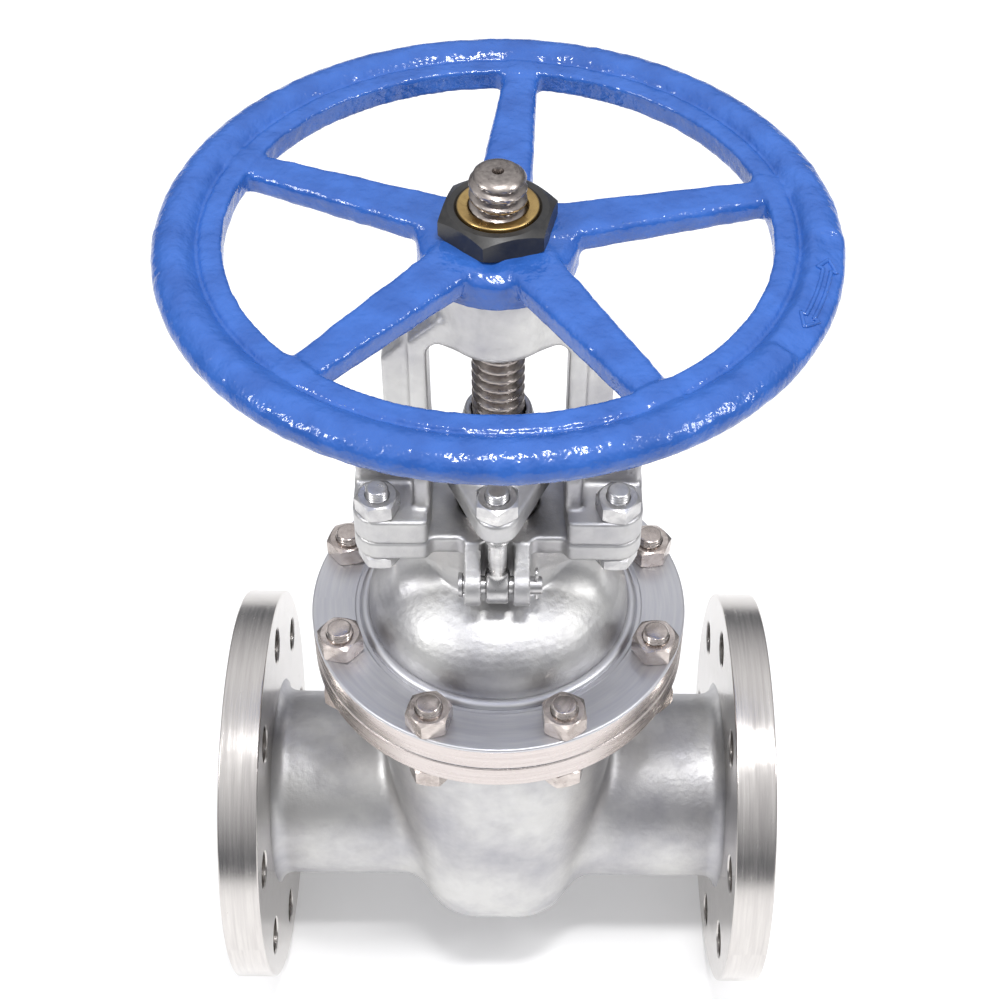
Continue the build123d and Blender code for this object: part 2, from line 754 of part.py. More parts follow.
# --- Yoke ---------------------------------------------------------------------------------------
with BuildPart() as yoke:
    # the two arms are one bent band that carries the boss
    with BuildSketch(Plane.XZ):
        with BuildLine():
            Polyline(
                (-arm_outer_x, platform_top_z),
                (-arm_outer_x, arm_shoulder_z),
                (-boss_r, arm_top_z),
                (boss_r, arm_top_z),
                (arm_outer_x, arm_shoulder_z),
                (arm_outer_x, platform_top_z),
                close=True,
            )
        make_face()
    extrude(amount=arm_half_y, both=True)
    # a web down the outside of each arm
    with BuildSketch(Plane.XZ):
        with BuildLine():
            Polyline((boss_r, rib_top_z), (rib_outer_x, rib_shoulder_z), (rib_outer_x, rib_bend_z))
            ThreePointArc(
                (rib_outer_x, rib_bend_z), (rib_flare_mid_x, rib_flare_mid_z), (ear_x - eps, foot_top_z)
            )
            Line((ear_x - eps, foot_top_z), (0, foot_top_z))
            mirror(about=Plane.YZ)
            Line((-boss_r, rib_top_z), (boss_r, rib_top_z))
        make_face()
    extrude(amount=rib_half_y, both=True)
    # feet
    with BuildSketch(Plane.XY.offset(platform_top_z)):
        for side in (-1, 1):
            with Locations((side * (ear_inner_x + ear_x) / 2, 0)):
                RectangleRounded(ear_x - ear_inner_x, 2 * ear_y, ear_corner_r)
            with Locations((side * (ear_inner_x + ear_corner_r), 0)):
                Rectangle(2 * ear_corner_r, 2 * ear_y)
    extrude(amount=foot_t)
    # window between the arms
    with BuildSketch(Plane.XZ):
        with Locations((0, (platform_top_z + window_top_z) / 2)):
            RectangleRounded(2 * window_half_x, window_top_z - platform_top_z, window_corner_r)
        with Locations((0, platform_top_z + window_corner_r)):
            Rectangle(2 * window_half_x, 2 * window_corner_r)
    extrude(amount=ear_y + eps, both=True, mode=Mode.SUBTRACT)
    # boss that houses the stem nut
    with BuildSketch(Plane.XZ):
        with BuildLine():
            boss_side = Line((boss_r, boss_top_z), (boss_r, boss_bottom_z + boss_round))
            boss_edge = ThreePointArc(
                boss_side @ 1,
                (boss_r - boss_round * arc_corner, boss_bottom_z + boss_round * arc_corner),
                (boss_r - boss_round, boss_bottom_z),
            )
            Polyline(boss_edge @ 1, (0, boss_bottom_z), (0, boss_top_z), boss_side @ 0)
        make_face()
    revolve(axis=Axis.Z)
    with BuildSketch(Plane.XY.offset(boss_floor_z)):
        Circle(boss_bore_r)
    extrude(amount=boss_top_z - boss_floor_z, mode=Mode.SUBTRACT)
    with BuildSketch(Plane.XY.offset(boss_bottom_z)):
        Circle(boss_floor_hole_r)
    extrude(amount=boss_floor_z - boss_bottom_z, mode=Mode.SUBTRACT)
    with BuildSketch(Plane.XY.offset(platform_top_z)):
        with GridLocations(2 * yoke_bolt_x, 2 * yoke_bolt_y, 2, 2):
            Circle(yoke_bolt_hole_d / 2)
    extrude(amount=foot_t, mode=Mode.SUBTRACT)
save(yoke.part, "yoke")

bolt_bottom_z = platform_bottom_z - yoke_bolt_head_h
bolt_shank = rod(yoke_bolt_d / 2, bolt_bottom_z, yoke_bolt_top_z, thread_chamfer)
bolt_head = hex_nut(m10_nut_af, yoke_bolt_head_h, yoke_bolt_d)
with BuildPart() as yoke_bolts:
    with Locations(*yoke_bolt_places(0, (0,) * 4)):
        add(bolt_shank)
    with Locations(*yoke_bolt_places(bolt_bottom_z, (0,) * 4)):
        add(bolt_head)
save(yoke_bolts.part, "yoke_bolts")

with BuildPart() as yoke_nuts:
    with Locations(*yoke_bolt_places(foot_top_z, yoke_nut_turns)):
        add(gland_nut)
save(yoke_nuts.part, "yoke_nuts")


# --- Stem nut and what carries it ---------------------------------------------------------------
lower_washer = ring(boss_floor_hole_r, nut_collar_r, boss_floor_z, washer_top_z)
save(lower_washer, "thrust_washer_lower")
upper_washer = ring(
    sleeve_r + thrust_washer_play, nut_collar_r, retainer_bottom_z - thrust_washer_t, retainer_bottom_z
)
save(upper_washer, "thrust_washer_upper")

with BuildPart() as yoke_nut_retainer:
    with BuildSketch(Plane.XZ):
        with BuildLine():
            Polyline(
                (sleeve_r + running_gap, retainer_bottom_z),
                (boss_bore_r, retainer_bottom_z),
                (boss_bore_r, boss_top_z),
                (retainer_flange_r, boss_top_z),
                (retainer_flange_r, boss_top_z + retainer_flange_t),
                (sleeve_r + running_gap, boss_top_z + retainer_flange_t),
                close=True,
            )
        make_face()
    revolve(axis=Axis.Z)
save(yoke_nut_retainer.part, "yoke_nut_retainer")

with BuildPart() as stem_nut:
    with BuildSketch(Plane.XZ):
        with BuildLine():
            Polyline(
                (stem_r + running_gap, washer_top_z + thrust_gap),
                (nut_collar_r, washer_top_z + thrust_gap),
                (nut_collar_r, nut_collar_top_z),
                (sleeve_r, nut_collar_top_z),
                (sleeve_r, sleeve_top_z - sleeve_chamfer),
                (sleeve_r - sleeve_chamfer, sleeve_top_z),
                (stem_r + sleeve_chamfer, sleeve_top_z),
                (stem_r + running_gap, sleeve_top_z - sleeve_chamfer),
                close=True,
            )
        make_face()
    revolve(axis=Axis.Z)
    with BuildSketch(Plane.XY.offset(key_bottom_z)):
        with Locations(((key_in_r + key_out_r) / 2, 0)):
            Rectangle(key_out_r - key_in_r, key_w)
    extrude(amount=key_top_z - key_bottom_z, mode=Mode.SUBTRACT)
save(stem_nut.part, "stem_nut")

with BuildPart() as handwheel_key:
    with BuildSketch(Plane.XY.offset(key_bottom_z)):
        with Locations(((key_in_r + key_out_r) / 2, 0)):
            Rectangle(key_out_r - key_in_r, key_w)
    extrude(amount=key_top_z - key_bottom_z)
save(handwheel_key.part, "handwheel_key")


# --- Handwheel ----------------------------------------------------------------------------------
with BuildPart() as handwheel:
    # hub
    with BuildSketch(Plane.XZ):
        with BuildLine():
            Polyline(
                (0, hub_bottom_z),
                (hub_r, hub_bottom_z),
                (hub_r, hub_bevel_z),
                (hub_flat_r, hub_top_z),
                (0, hub_top_z),
                close=True,
            )
        make_face()
    revolve(axis=Axis.Z)
    # rim
    with BuildSketch(Plane.XZ):
        with BuildLine():
            band = Polyline(*rim_points)
            crown = ThreePointArc(band @ 1, rim_crown, rim_outer)
            Polyline(crown @ 1, *rim_under, band @ 0)
        make_face()
    revolve(axis=Axis.Z)
    # spokes, flat on top with drafted sides
    for azimuth in wheel_azimuths:
        turned = Plane.XY.rotated((0, 0, azimuth))
        with BuildSketch(turned.offset(spoke_top_z)):
            with BuildLine():
                Polyline(
                    (spoke_start_r, -spoke_hub_w / 2),
                    (spoke_end_r, -spoke_rim_w / 2),
                    (spoke_end_r, spoke_rim_w / 2),
                    (spoke_start_r, spoke_hub_w / 2),
                    close=True,
                )
            make_face()
        extrude(amount=-spoke_h, taper=-spoke_draft)
    with BuildSketch(Plane.XY.offset(hub_bottom_z)):
        Circle(sleeve_r + hub_bore_gap)
        with Locations(((key_in_r + key_out_r) / 2, 0)):
            Rectangle(key_out_r - key_in_r, key_w)
    extrude(amount=hub_top_z - hub_bottom_z, mode=Mode.SUBTRACT)
save(handwheel.part, "handwheel")

wheel_nut_body = hex_nut(wheel_nut_af, wheel_nut_h, 2 * sleeve_r)
with BuildPart() as handwheel_nut:
    with Locations(Location((0, 0, hub_top_z), (0, 0, wheel_nut_turn))):
        add(wheel_nut_body)
save(handwheel_nut.part, "handwheel_nut")
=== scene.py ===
"""Looks of a flanged rising-stem gate valve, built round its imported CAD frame.

Lengths inside the classes are millimetres in the frame's own axes: X along the pipe, Y to the rear,
Z up the stem from the floor. Meshes are written in metres.
"""
import logging
import math
from dataclasses import dataclass
from enum import Enum
from typing import Callable, Sequence

import bmesh
import bpy
import numpy as np
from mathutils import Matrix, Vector


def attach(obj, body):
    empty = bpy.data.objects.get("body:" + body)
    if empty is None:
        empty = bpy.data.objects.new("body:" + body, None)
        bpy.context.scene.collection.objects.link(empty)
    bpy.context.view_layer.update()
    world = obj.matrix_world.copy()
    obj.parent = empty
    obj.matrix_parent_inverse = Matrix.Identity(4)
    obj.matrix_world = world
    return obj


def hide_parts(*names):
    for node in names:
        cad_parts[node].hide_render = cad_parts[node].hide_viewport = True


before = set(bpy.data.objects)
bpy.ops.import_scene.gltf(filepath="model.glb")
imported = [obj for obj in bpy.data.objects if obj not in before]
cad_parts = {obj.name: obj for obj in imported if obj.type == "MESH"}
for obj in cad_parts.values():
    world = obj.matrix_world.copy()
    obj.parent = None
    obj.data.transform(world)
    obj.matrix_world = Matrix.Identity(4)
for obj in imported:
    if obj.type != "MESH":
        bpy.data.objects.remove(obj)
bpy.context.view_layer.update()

MM = 0.001
PIPE_Z = 100.0
JOINT_R = 86.8
JOINT_HOLE = 6.75
YOKE_HOLE = 5.5
EYEBOLT_PIN_Z = 298.0
HOLE_COLUMNS = 32
FLANGE_COLUMNS = 192
ROD_COLUMNS = 40
THREAD_ROWS = 8
FLAT_CREASE = 12.0
CAST_CREASE = 50.0
SKIN = 0.15
Array = np.ndarray
Field = Callable[[Array, Array, Array], Array]
Shell = tuple[Array, Array]
Point = tuple[float, float]
Point3 = tuple[float, float, float]
Colour = tuple[float, float, float]
Measure = Array | float
Socket = bpy.types.NodeSocket
log = logging.getLogger("gate_valve")


class Turning(Enum):
    """The line that a turned piece is turned about."""

    STEM = "stem"
    PIPE = "pipe"


class Body(Enum):
    """The frame's bodies."""

    FIXED = "valve_body"
    WHEEL = "wheel"
    STEM = "rising_stem"


# --- Distance fields ----------------------------------------------------------------------------
def round_union(a: Array, b: Array, radius: float) -> Array:
    """Join two solids with a concave fillet: max(r, min(a, b)) less the length of (r - a, r - b)."""
    inner = np.hypot(np.maximum(radius - a, 0), np.maximum(radius - b, 0))
    return np.maximum(radius, np.minimum(a, b)) - inner


def round_meet(a: Array, b: Array, radius: float) -> Array:
    """Common part with a rounded edge: min(-r, max(a, b)) plus the length of (r + a, r + b)."""
    outer = np.hypot(np.maximum(radius + a, 0), np.maximum(radius + b, 0))
    return np.minimum(-radius, np.maximum(a, b)) + outer


def slab(a: Array, low: float, high: float) -> Array:
    """Distance to the layer between two heights."""
    return np.abs(a - (low + high) / 2) - (high - low) / 2


def rounded_rectangle(a: Array, b: Array, half_a: Measure, half_b: Measure, radius: Measure) -> Array:
    """Distance to a rectangle with round corners: what sticks out of the inset rectangle, less r.

    Args:
        a: Places on the first axis, from the middle.
        b: Places on the second axis.
        half_a: Half width along a.
        half_b: Half width along b.
        radius: The corners' radius.

    Returns:
        The distances, negative inside.
    """
    over_a = np.abs(a) - half_a + radius
    over_b = np.abs(b) - half_b + radius
    outside = np.hypot(np.maximum(over_a, 0), np.maximum(over_b, 0))
    return outside + np.minimum(np.maximum(over_a, over_b), 0) - radius


def outline_distance(u: Array, v: Array, corners: Array) -> Array:
    """Distance to a closed outline: its nearest edge, negative where a ray crosses it an odd number
    of times.

    Args:
        u: Places on the first axis.
        v: Places on the second axis.
        corners: The outline's corners, (n, 2).

    Returns:
        The distances, negative inside.
    """
    nearest = np.full(u.shape, np.inf)
    inside = np.zeros(u.shape, bool)
    for start, end in zip(corners, np.roll(corners, -1, axis=0)):
        edge_u, edge_v = end - start
        along = ((u - start[0]) * edge_u + (v - start[1]) * edge_v) / (edge_u**2 + edge_v**2)
        along = np.clip(along, 0, 1)
        gap = (u - start[0] - along * edge_u) ** 2 + (v - start[1] - along * edge_v) ** 2
        nearest = np.minimum(nearest, gap)
        if edge_v != 0:
            spans = (start[1] > v) != (end[1] > v)
            inside ^= spans & (u < start[0] + (v - start[1]) * edge_u / edge_v)
    return np.sqrt(nearest) * np.where(inside, -1, 1)


def two_circle_hull(u: Array, v: Array, big: float, small: float, reach: float) -> Array:
    """Distance to the hull of a circle at the centre and a smaller one at each end of v.

    Args:
        u: Places across the hull.
        v: Places along it.
        big: The middle circle's radius.
        small: The end circles' radius.
        reach: How far the end circles stand from the middle.

    Returns:
        The distances, negative inside.
    """
    u, v = np.abs(u), np.abs(v)
    lean = (big - small) / reach
    upright = math.sqrt(1 - lean**2)
    along = upright * v - lean * u
    side = u * upright + v * lean - big
    tip = np.hypot(u, v - reach) - small
    return np.where(along < 0, np.hypot(u, v) - big, np.where(along > upright * reach, tip, side))


def waviness(points: Array, size: float, seed: int) -> Array:
    """Smooth random swelling between -1 and 1: a random lattice blended by 3t^2 - 2t^3 in each cell.

    Args:
        points: Where it is read, (n, 3).
        size: A cell's side in millimetres.
        seed: The random lattice's seed.

    Returns:
        One value for each point.
    """
    count = 32
    lattice = np.random.default_rng(seed).uniform(-1, 1, (count, count, count))
    cell = np.floor(points / size).astype(int)
    step = points / size - cell
    step = step * step * (3 - 2 * step)
    total = np.zeros(len(points))
    for corner in np.ndindex(2, 2, 2):
        weight = np.prod(np.where(np.array(corner) == 1, step, 1 - step), axis=1)
        i, j, k = ((cell + corner) % count).T
        total += weight * lattice[i, j, k]
    return total


# --- Surfaces -----------------------------------------------------------------------------------
def soften(corners: Sequence[Point], radii: float | Sequence[float], steps: int = 4) -> Array:
    """Round a closed outline's corners: at each, a parabola from one radius before it to one after.

    Args:
        corners: The outline's corners.
        radii: One radius for all corners, or one each.
        steps: Points on each rounded corner.

    Returns:
        The outline's points, (corners x steps, 2).
    """
    corner = np.array(corners, float)
    before, after = np.roll(corner, 1, axis=0) - corner, np.roll(corner, -1, axis=0) - corner
    reach = np.broadcast_to(np.array(radii, float), len(corner))[:, None]
    length_before = np.linalg.norm(before, axis=1, keepdims=True)
    length_after = np.linalg.norm(after, axis=1, keepdims=True)
    start = corner + before / length_before * np.minimum(reach, 0.48 * length_before)
    end = corner + after / length_after * np.minimum(reach, 0.48 * length_after)
    t = np.linspace(0, 1, steps)[None, :, None]
    curve = (1 - t) ** 2 * start[:, None] + 2 * t * (1 - t) * corner[:, None] + t**2 * end[:, None]
    return curve.reshape(-1, 2)


def arc(centre: Point, radius: float, start: float, end: float, count: int) -> Array:
    """Points on a circle from one angle to another, in degrees."""
    angle = np.radians(np.linspace(start, end, count))
    return np.stack([centre[0] + radius * np.cos(angle), centre[1] + radius * np.sin(angle)], axis=1)


def grid_quads(rows: int, columns: int, wrap_rows: bool) -> Array:
    """Quads of a grid of points numbered row by row, whose columns go once round.

    Args:
        rows: Rows of the grid.
        columns: Columns of the grid.
        wrap_rows: Whether the last row joins the first.

    Returns:
        Four vertex numbers for each quad.
    """
    i, j = np.meshgrid(np.arange(rows if wrap_rows else rows - 1), np.arange(columns), indexing="ij")
    below, beside = (i + 1) % rows, (j + 1) % columns
    corners = (i * columns + j, below * columns + j, below * columns + beside, i * columns + beside)
    return np.stack([corner.ravel() for corner in corners], axis=1)


def grid_shell(points: Array, wrap_rows: bool) -> Shell:
    """A shell from a (rows, columns, 3) grid whose columns go once round."""
    rows, columns = points.shape[:2]
    return points.reshape(-1, 3), grid_quads(rows, columns, wrap_rows)


def lathe(
    profile: Array,
    about: Turning = Turning.STEM,
    centre: Point = (0.0, 0.0),
    columns: int = 128,
) -> Shell:
    """A turned shape: the closed profile (radius, height) carried once round its line.

    Args:
        profile: Closed outline of (radius, height) points.
        about: Which line it is turned about.
        centre: Where the line crosses the plane across it: (x, y) for the stem, (y, z) for the pipe.
        columns: Points round the circle.

    Returns:
        The shell.
    """
    angle = np.arange(columns) * 2 * math.pi / columns
    radius, height = profile[:, 0:1], np.repeat(profile[:, 1:2], columns, axis=1)
    across = centre[0] + radius * np.cos(angle)
    up = centre[1] + radius * np.sin(angle)
    order = (across, up, height) if about is Turning.STEM else (height, across, up)
    return grid_shell(np.stack(order, axis=-1), True)


def hexagon(across_flats: float, bottom: float, top: float, bore: float, columns: int = 96) -> Shell:
    """A hexagon whose corners are turned off in a cone at both ends.

    At an angle the flat stands across_flats / 2 / cos(angle from the flat's middle) from the line. The cone
    loses tan 30 degrees of height for each millimetre outside 0.94 of the half width across flats.

    Args:
        across_flats: Width across flats.
        bottom: Height of the lower face.
        top: Height of the upper face.
        bore: Radius of the hole.
        columns: Points round, a multiple of six.

    Returns:
        The shell, standing on the Z line.
    """
    angle = np.arange(columns) * 2 * math.pi / columns
    from_flat = np.mod(angle, math.pi / 3) - math.pi / 6
    reach = across_flats / 2 / np.cos(from_flat)
    face = np.full(columns, 0.94 * across_flats / 2)
    drop = (reach - face) * math.tan(math.radians(30))
    hole = np.full(columns, bore)
    lip = 0.8
    radius = np.stack([hole, hole + lip, face, reach, reach, face, hole + lip, hole])
    flat = np.zeros(columns)
    height = np.stack(
        [flat + bottom + lip, flat + bottom, flat + bottom, bottom + drop,
         top - drop, flat + top, flat + top, flat + top - lip]
    )
    return grid_shell(np.stack([radius * np.cos(angle), radius * np.sin(angle), height], axis=-1), True)


@dataclass(frozen=True)
class Thread:
    """A screw thread: its crest radius, depth, pitch and hand, and how flat its crests and roots are."""

    radius: float
    depth: float
    pitch: float
    hand: int = 1
    flatness: float = 1.0

    def shell(
        self, start: float, end: float, plain: Point, end_round: float, columns: int, detail: int
    ) -> Shell:
        """A rod that is threaded outside its plain stretch.

        The radius is the crest's less the depth times a wave of the pitch that climbs once round. The wave
        fades out over a pitch beside the plain stretch, and both ends are rounded off.

        Args:
            start: Height of the lower end.
            end: Height of the upper end.
            plain: Heights between which there is no thread.
            end_round: How much of each end is rounded off.
            columns: Points round.
            detail: Rows for each pitch.

        Returns:
            The shell, on the Z line.
        """
        step = self.pitch / detail
        rows = np.arange(start, end, step)
        rows = rows[(rows < plain[0] + self.pitch) | (rows > plain[1] - self.pitch)]
        ends = end_round * (1 - np.cos(np.linspace(0, math.pi / 2, 6)))
        rows = np.unique(np.concatenate([rows, start + ends, end - ends]))[:, None]
        angle = np.arange(columns) * 2 * math.pi / columns
        phase = np.mod(rows / self.pitch - self.hand * angle / (2 * math.pi), 1)
        wave = np.clip((np.abs(2 * phase - 1) - 0.5) * self.flatness + 0.5, 0, 1)
        fade = np.clip(np.maximum(plain[0] - rows, rows - plain[1]) / self.pitch, 0, 1)
        from_end = np.minimum(np.minimum(rows - start, end - rows) / end_round, 1)
        limit = self.radius - end_round * (1 - np.sqrt(np.maximum(1 - (1 - from_end) ** 2, 0)))
        radius = np.minimum(self.radius - self.depth * wave * fade, limit)
        height = np.repeat(rows, columns, axis=1)
        side = np.stack([radius * np.cos(angle), radius * np.sin(angle), height], axis=-1)
        lower, upper = side[:1] * (0, 0, 1), side[-1:] * (0, 0, 1)
        return grid_shell(np.concatenate([lower, side, upper]), False)


def tube(path: Array, radius: float, columns: int = 12) -> Shell:
    """A round bar along a path in a plane of constant x: circles of X and the path's own normal.

    Args:
        path: The bar's middle line, (n, 3).
        radius: The bar's radius.
        columns: Points round it.

    Returns:
        The shell, closed at both ends.
    """
    along = np.gradient(path, axis=0)
    along /= np.linalg.norm(along, axis=1, keepdims=True)
    across = np.array([1.0, 0, 0])
    normal = np.cross(along, across)
    angle = np.arange(columns) * 2 * math.pi / columns
    offset = across * np.cos(angle)[:, None] + normal[:, None] * np.sin(angle)[:, None]
    points = path[:, None] + radius * offset
    ends = np.repeat(path[[0, -1], None], columns, axis=1)
    return grid_shell(np.concatenate([ends[:1], points, ends[1:]]), False)


def moved(shell: Shell, x: float = 0, y: float = 0, z: float = 0, turn: float = 0) -> Shell:
    """The shell turned about Z by degrees and then moved.

    Args:
        shell: The shell to move.
        x: Move along the pipe.
        y: Move to the rear.
        z: Move up.
        turn: Turn about Z in degrees.

    Returns:
        The moved shell.
    """
    c, s = math.cos(math.radians(turn)), math.sin(math.radians(turn))
    points = shell[0] @ np.array([[c, s, 0], [-s, c, 0], [0, 0, 1]])
    return points + (x, y, z), shell[1]


# --- Casting surfaces ---------------------------------------------------------------------------
def neighbour_mean(points: Array, quads: Array) -> Array:
    """The mean of each vertex's neighbours along the quads' sides.

    Args:
        points: The vertices, (n, 3).
        quads: Their quads.

    Returns:
        A mean for each vertex.
    """
    total, count = np.zeros_like(points), np.zeros(len(points))
    for side in (1, -1):
        other = np.roll(quads, side, axis=1).ravel()
        for column in range(3):
            total[:, column] += np.bincount(quads.ravel(), points[other, column], len(points))
        count += np.bincount(quads.ravel(), minlength=len(points))
    return total / count[:, None]


def slope_of(points: Array, here: Array, solid: Field) -> Array:
    """The field's gradient at each point: its gain over a short step along each axis.

    Args:
        points: Where the slope is wanted, (n, 3).
        here: The field's value there.
        solid: The distance field.

    Returns:
        The slopes, (n, 3).
    """
    reach = 0.03
    slope = np.zeros_like(points)
    for axis in range(3):
        ahead = points.copy()
        ahead[:, axis] += reach
        slope[:, axis] = (solid(*ahead.T) - here) / reach
    return slope


def onto_surface(points: Array, solid: Field, step: float, rounds: int) -> Array:
    """Move each point to where the field is zero: Newton steps down the slope, each under half a cell."""
    for _ in range(rounds):
        here = solid(*points.T)
        slope = slope_of(points, here, solid)
        steepness = np.maximum((slope**2).sum(axis=1), 0.2)
        move = np.clip(here / steepness, -step / 2, step / 2)
        points = points - slope * move[:, None]
    return points


@dataclass(frozen=True)
class Casting:
    """A cast shape: the zero surface of a distance field inside a box, sampled every step."""

    solid: Field
    low: Point3
    high: Point3
    step: float
    swell: float = 0.0
    swell_size: float = 8.0

    def shell(self) -> Shell:
        """Mesh the surface.

        The field is sampled on a lattice. A cell that the surface passes through gets one vertex, the mean
        of the places where its edges cross zero, and each crossing edge gets a quad from its four cells.
        The vertices relax among their neighbours and slide back onto the surface along the field's slope,
        and last they swell a little along it, as a sand casting does.

        Returns:
            The shell.
        """
        lines = [np.arange(a, b + self.step, self.step) for a, b in zip(self.low, self.high)]
        value = self.solid(*np.meshgrid(*lines, indexing="ij"))
        cells = np.array(value.shape) - 1
        rings, places, flips = [], [], []
        for axis in range(3):
            lower: list = [slice(None)] * 3
            upper: list = [slice(None)] * 3
            lower[axis], upper[axis] = slice(None, -1), slice(1, None)
            a, b = value[tuple(lower)], value[tuple(upper)]
            index = np.stack(np.nonzero((a < 0) != (b < 0)), axis=1)
            at = tuple(index.T)
            place = index.astype(float)
            place[:, axis] += a[at] / (a[at] - b[at])
            ring = []
            for back_first, back_second in ((1, 1), (0, 1), (0, 0), (1, 0)):
                cell = index.copy()
                cell[:, (axis + 1) % 3] -= back_first
                cell[:, (axis + 2) % 3] -= back_second
                ring.append(np.ravel_multi_index(tuple(cell.T), cells))
            rings.append(np.stack(ring, axis=1))
            places.append(place)
            flips.append(a[at] >= 0)
        ring, place, flip = np.concatenate(rings), np.concatenate(places), np.concatenate(flips)
        number, compact = np.unique(ring, return_inverse=True)
        quads = compact.reshape(ring.shape)
        owner = quads.ravel()
        share = np.bincount(owner, minlength=len(number))
        columns = [np.bincount(owner, np.repeat(place[:, column], 4), len(number)) for column in range(3)]
        points = np.array(self.low) + np.stack(columns, axis=1) / share[:, None] * self.step
        quads[flip] = quads[flip][:, ::-1]
        for _ in range(2):
            points = 0.4 * points + 0.6 * neighbour_mean(points, quads)
            points = onto_surface(points, self.solid, self.step, 2)
        if self.swell:
            slope = slope_of(points, self.solid(*points.T), self.solid)
            outward = slope / np.maximum(np.linalg.norm(slope, axis=1, keepdims=True), 1e-6)
            height = waviness(points, self.swell_size, 7) + 0.5 * waviness(points, self.swell_size / 2, 8)
            points = points + outward * (self.swell * height)[:, None]
        return points, quads


# --- Pieces -------------------------------------------------------------------------------------
def new_piece(name: str, shells: Sequence[Shell], crease: float | None = 35.0) -> bpy.types.Object:
    """Put shells in the scene as one mesh.

    Args:
        name: The piece's name.
        shells: Points in millimetres and quads of each closed shell.
        crease: Edges sharper than this angle in degrees stay crisp; None keeps all smooth.

    Returns:
        The new object, with seams and poles closed and faces outwards.
    """
    starts = np.cumsum([0] + [len(points) for points, _ in shells])
    points = np.concatenate([shell[0] for shell in shells]) * MM
    quads = np.concatenate([shell[1] + start for shell, start in zip(shells, starts)])
    mesh = bpy.data.meshes.new(name)
    mesh.from_pydata(points, [], quads)
    close_up(mesh, crease)
    piece = bpy.data.objects.new(name, mesh)
    bpy.context.scene.collection.objects.link(piece)
    return piece


def close_up(mesh: bpy.types.Mesh, crease: float | None) -> None:
    """Merge doubles, turn faces outwards and shade the mesh smooth but for its creases.

    Args:
        mesh: The mesh to clean.
        crease: Edges sharper than this angle in degrees stay crisp; None keeps all smooth.
    """
    work = bmesh.new()
    work.from_mesh(mesh)
    bmesh.ops.remove_doubles(work, verts=work.verts, dist=2e-6)
    bmesh.ops.dissolve_degenerate(work, edges=work.edges, dist=1e-7)
    bmesh.ops.recalc_face_normals(work, faces=work.faces)
    work.to_mesh(mesh)
    work.free()
    mesh.shade_smooth()
    if crease is not None:
        mesh.set_sharp_from_angle(angle=math.radians(crease))


def drilled(piece: bpy.types.Object, drills: Sequence[Shell], crease: float = 35.0) -> bpy.types.Object:
    """Cut holes with closed shells and keep the cut mesh.

    Args:
        piece: The object to cut.
        drills: Closed shells of the holes.
        crease: Edges sharper than this angle in degrees stay crisp.

    Returns:
        The same object with its cut mesh.
    """
    cutter = new_piece("drill", drills)
    cut = piece.modifiers.new("holes", "BOOLEAN")
    cut.operation = "DIFFERENCE"
    cut.solver = "EXACT"
    cut.object = cutter
    graph = bpy.context.evaluated_depsgraph_get()
    mesh = bpy.data.meshes.new_from_object(piece.evaluated_get(graph))
    piece.modifiers.clear()
    piece.data = mesh
    bpy.data.objects.remove(cutter)
    close_up(mesh, crease)
    return piece


def even_shading(piece: bpy.types.Object) -> bpy.types.Object:
    """Shade by face area, so that flats stay flat beside small rounds.

    Args:
        piece: The object to shade.

    Returns:
        The same object.
    """
    weigh = piece.modifiers.new("flats", "WEIGHTED_NORMAL")
    weigh.keep_sharp = True
    return piece


def drill_profile(radius: float, low: float, high: float, chamfer: float) -> Array:
    """A drill's outline from its line: the hole's radius, opening by the chamfer at both faces."""
    over = 2.0
    return np.array(
        [(0, low - over), (radius + chamfer + over, low - over), (radius, low + chamfer),
         (radius, high - chamfer), (radius + chamfer + over, high + over), (0, high + over)]
    )


def circle_places(radius: float, count: int, start: float) -> list[Point]:
    """Places evenly round a circle, the first at an angle in degrees."""
    angles = [math.radians(start + index * 360 / count) for index in range(count)]
    return [(radius * math.cos(angle), radius * math.sin(angle)) for angle in angles]


def settle(
    piece: bpy.types.Object, body: Body, slot: str, paint: bpy.types.Material, *nodes: str
) -> bpy.types.Object:
    """Dress a finished piece and hang it on its body.

    Args:
        piece: The finished object.
        body: The body it moves with.
        slot: The record's material slot; not used.
        paint: Its material.
        *nodes: The CAD nodes that it stands for.

    Returns:
        The same object.
    """
    piece.data.materials.clear()
    piece.data.materials.append(paint)
    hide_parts(*nodes)
    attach(piece, body.value)
    log.info("%s: %d faces", piece.name, len(piece.data.polygons))
    return piece


